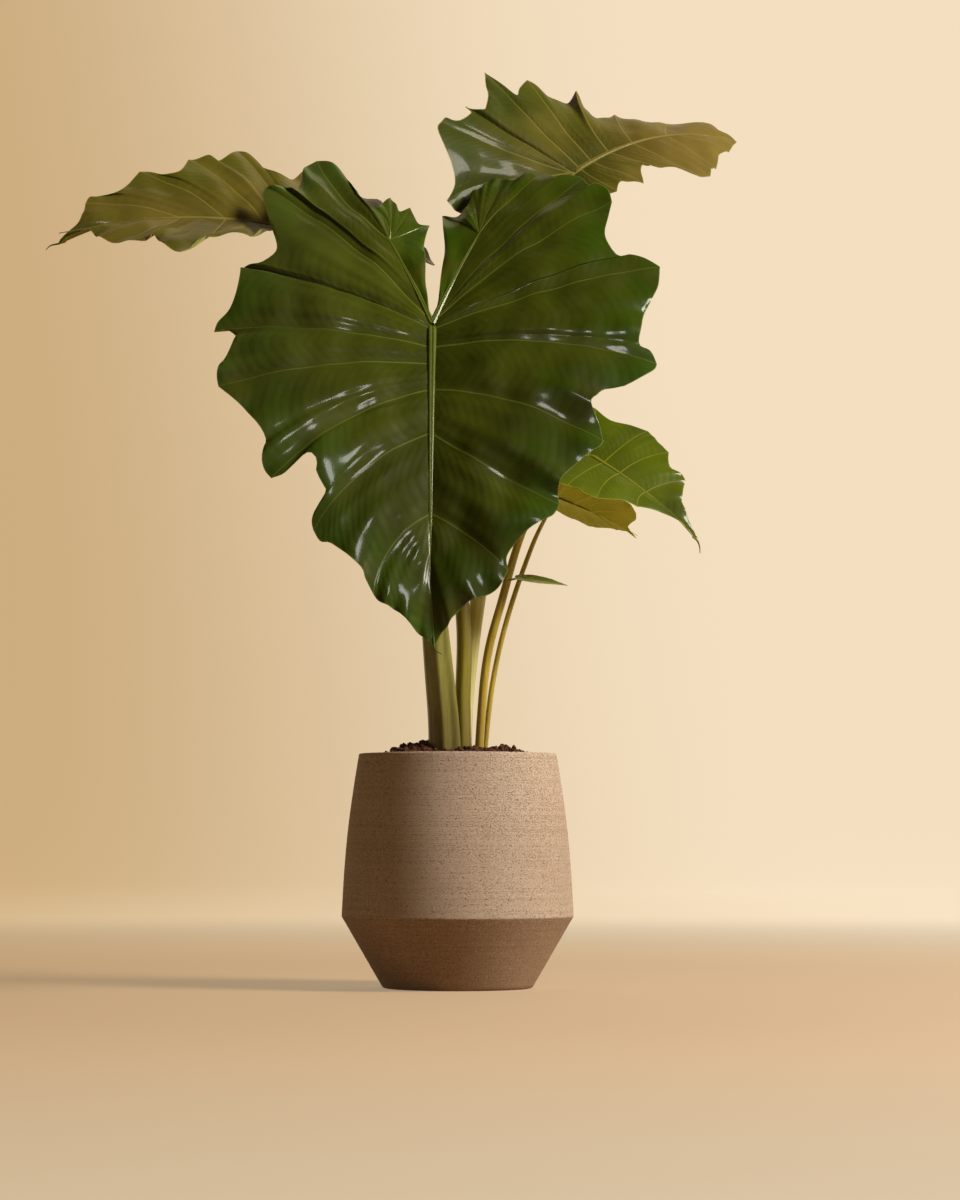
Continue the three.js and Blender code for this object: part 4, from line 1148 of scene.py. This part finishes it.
def make_leaves():
    dark = stalk_finish("dark_stalk", srgb(106, 104, 32), srgb(152, 152, 68), srgb(98, 74, 30),
                        0.05)
    olive = stalk_finish("olive_stalk", srgb(118, 108, 28), srgb(170, 158, 58), srgb(106, 84, 32))
    pale = stalk_finish("pale_stalk", srgb(214, 212, 126), srgb(236, 232, 162), srgb(200, 190, 108))
    gold = stalk_finish("gold_stalk", srgb(172, 152, 36), srgb(224, 202, 84), srgb(152, 114, 42))
    stalk_piece("front_stalk", FRONT, dark)
    stalk_piece("left_stalk", LEFT, olive)
    stalk_piece("top_stalk", TOP, pale)
    stalk_piece("right_stalk", RIGHT, gold)
    stalk_piece("low_stalk", LOW, gold)

    # painted shade darkens the front leaf's right half, which faces away from the key light;
    # painted light pales its left half, which faces it
    deep = upper_finish("front_upper", srgb(56, 64, 6), srgb(74, 82, 14), srgb(108, 122, 46),
                        srgb(50, 86, 0),
                        painted_light_tones=[(-0.06, 0.06, 0.0, 0.16, srgb(20, 26, 0)),
                               (-0.25, -0.03, 0.16, 0.0, srgb(104, 112, 62)),
                               (0.08, 0.22, 0.0, 0.16, srgb(20, 30, 0))])
    deep_under = under_finish("front_under", srgb(92, 106, 44), srgb(124, 136, 66),
                              srgb(170, 168, 96))
    blade_piece("front_leaf", FRONT, deep, deep_under)
    olive_top = upper_finish("left_upper", srgb(78, 72, 16), srgb(112, 100, 38), srgb(142, 134, 66),
                             srgb(88, 92, 20), 12.0, 0.42, 0.2, 0.12)
    olive_under = under_finish("left_under", srgb(112, 118, 40), srgb(148, 150, 60),
                               srgb(186, 180, 100))
    blade_piece("left_leaf", LEFT, olive_top, olive_under)
    # painted reflection: the tan tone over the right part stands for the warm backdrop seen at a
    # grazing angle; the first tone lays a deeper green over the left lobes
    painted_sheen_top = upper_finish("top_upper", srgb(56, 62, 8), srgb(96, 90, 30), srgb(140, 132, 62),
                           srgb(88, 92, 20), 11.0, 0.46, 0.1, 0.12,
                           [(0.0, 0.13, 0.65, 0.0, srgb(24, 50, 0)),
                            (0.13, 0.30, 0.0, 0.45, srgb(142, 114, 56))])
    blade_piece("top_leaf", TOP, painted_sheen_top, olive_under)
    fresh = upper_finish("right_upper", srgb(60, 74, 2), srgb(82, 92, 6), srgb(136, 138, 44),
                         srgb(92, 108, 6), 9.0, 0.4)
    fresh_under = under_finish("right_under", srgb(140, 146, 50), srgb(176, 178, 78),
                               srgb(206, 200, 120), 9.0)
    blade_piece("right_leaf", RIGHT, fresh, fresh_under)
    yellow_under = under_finish("low_under", srgb(200, 218, 40), srgb(228, 238, 70),
                                srgb(238, 238, 108), 8.0)
    blade_piece("low_leaf", LOW, fresh, yellow_under)
    sprout = upper_finish("young_upper", srgb(96, 116, 34), srgb(142, 158, 66), srgb(186, 190, 108),
                          srgb(146, 158, 66), 5.0, 0.32)
    blade_piece("young_leaf_blade", YOUNG, sprout, fresh_under)


# Stage, light and camera

def paper_finish():
    """The stage's paper: it glows as if evenly lit far from the plant, with painted light that
    makes it paler to the right, behind it, and painted shadow that darkens it to the left; it
    throws little light of its own on the plant."""
    f = Finish("stage_paper")
    x, y, z = (f.axis(letter) for letter in "XYZ")
    away = (x * x + y * y).math("SQRT")
    # painted light: the glow is paler to the right, where the key light falls, and darker to the
    # left, a painted shadow of the plant
    lit = f.step(x + z * 0.15, -1.7, 1.3)
    glow = f.colour(lit, srgb(204, 173, 128), srgb(244, 224, 193))
    aside = f.step(x * x, 4.0, 50.0)
    ahead = f.step(y, -14.0, -3.0, 1.0, 0.0)
    glow = f.colour(aside.math("MAXIMUM", ahead), glow, srgb(222, 197, 158))
    ray = f.node("ShaderNodeLightPath", {}, {}, "Is Diffuse Ray")
    strength = f.step(away, 0.6, 3.8, 0.42, 0.98) * (1 - ray * 0.92)
    paper = f.colour(f.step(away, 1.0, 2.8), srgb(150, 118, 80), srgb(44, 34, 22))
    glow = f.colour(strength, srgb(0, 0, 0), glow)
    return f.shade(base_color=paper, roughness=0.95, emission_color=glow, emission_strength=1.0)


def make_stage():
    """A pale floor that sweeps up into a backdrop well behind the plant."""
    bpy.ops.mesh.primitive_plane_add(size=1, location=(0, 0, 0))
    sweep = bpy.context.object
    sweep.name = "stage_sweep"
    bpy.ops.transform.resize(value=(*STAGE_SIZE, 1))
    bpy.ops.transform.translate(value=(0, STAGE_SHIFT, 0))
    bpy.ops.object.transform_apply(location=True, rotation=True, scale=True)
    bpy.ops.object.mode_set(mode="EDIT")
    bpy.ops.mesh.select_mode(type="EDGE")
    shape = bmesh.from_edit_mesh(sweep.data)
    back = max(v.co.y for v in shape.verts)
    for e in shape.edges:
        e.select = all(v.co.y > back - 0.01 for v in e.verts)
    shape.select_flush_mode()
    bmesh.update_edit_mesh(sweep.data)
    for i in range(COVE_STEPS):
        t0, t1 = (math.pi / 2 * j / COVE_STEPS for j in (i, i + 1))
        move = (0, COVE * (math.sin(t1) - math.sin(t0)), COVE * (math.cos(t0) - math.cos(t1)))
        bpy.ops.mesh.extrude_region_move(TRANSFORM_OT_translate={"value": move})
    bpy.ops.mesh.extrude_region_move(TRANSFORM_OT_translate={"value": (0, 0, BACKDROP_RISE)})
    bpy.ops.object.mode_set(mode="OBJECT")
    smooth(sweep, 60)
    sweep.data.materials.append(paper_finish())


def aim(thing, target):
    way = np.array(target, float) - np.array(thing.location)
    thing.rotation_euler = Vector(way).to_track_quat("-Z", "Y").to_euler()


def area_light(name, place, size, power, colour, target=(0, 0, 0.6)):
    light = bpy.data.lights.new(name, "AREA")
    light.shape = "RECTANGLE"
    light.size, light.size_y = size
    light.energy = power
    light.color = colour
    lamp = bpy.data.objects.new(name, light)
    lamp.location = place
    bpy.context.scene.collection.objects.link(lamp)
    aim(lamp, target)
    return lamp


def make_lights():
    """Warm light from high at the right, a lift from behind, and a panel that leaves glints."""
    area_light("window_light", (3.1, -1.35, 2.8), (1.3, 1.3), 205, (1.0, 0.92, 0.79))
    lift = area_light("back_lift", (0.4, 3.6, 2.6), (2.6, 2.0), 34, (1.0, 0.88, 0.68))
    lift.visible_glossy = False
    glint = area_light("glint_panel", (0.44, -2.7, 2.08), (0.4, 0.5), 15, (1.0, 0.97, 0.92),
                       target=(-0.15, -0.19, 0.66))
    glint.visible_diffuse = False


def make_room():
    """The room round the stage: dim as a source of light, pale where the camera sees it."""
    world = bpy.data.worlds.new("room")
    world.use_nodes = True
    nodes, links = world.node_tree.nodes, world.node_tree.links
    sky = nodes["Background"]
    ray = nodes.new("ShaderNodeLightPath")
    shown = nodes.new("ShaderNodeMix")
    shown.data_type = "RGBA"
    shown.inputs[MIX_FIRST].default_value = (*ROOM_LIGHT, 1)
    shown.inputs[MIX_SECOND].default_value = (*ROOM_SEEN, 1)
    links.new(ray.outputs["Is Camera Ray"], shown.inputs[MIX_SHARE])
    links.new(shown.outputs[MIX_RESULT], sky.inputs["Color"])
    sky.inputs["Strength"].default_value = 1.0
    bpy.context.scene.world = world


def make_camera():
    camera = bpy.data.cameras.new("camera")
    camera.lens = 100
    camera.sensor_width = 36
    camera.clip_end = 200
    view = bpy.data.objects.new("camera", camera)
    view.location = (0.027, -4.04, 0.184)
    view.rotation_euler = (math.radians(94.03), 0, 0)
    bpy.context.scene.collection.objects.link(view)
    bpy.context.scene.camera = view
    bpy.context.scene.view_settings.view_transform = "Standard"


make_camera()
make_lights()
make_room()
make_stage()
pot_piece()
stalk_starts = [leaf["stalk"][0] for leaf in (FRONT, LEFT, TOP, RIGHT, LOW)]
soil_piece([(x, y, radius + 1) for x, y, height, radius in stalk_starts])
make_leaves()
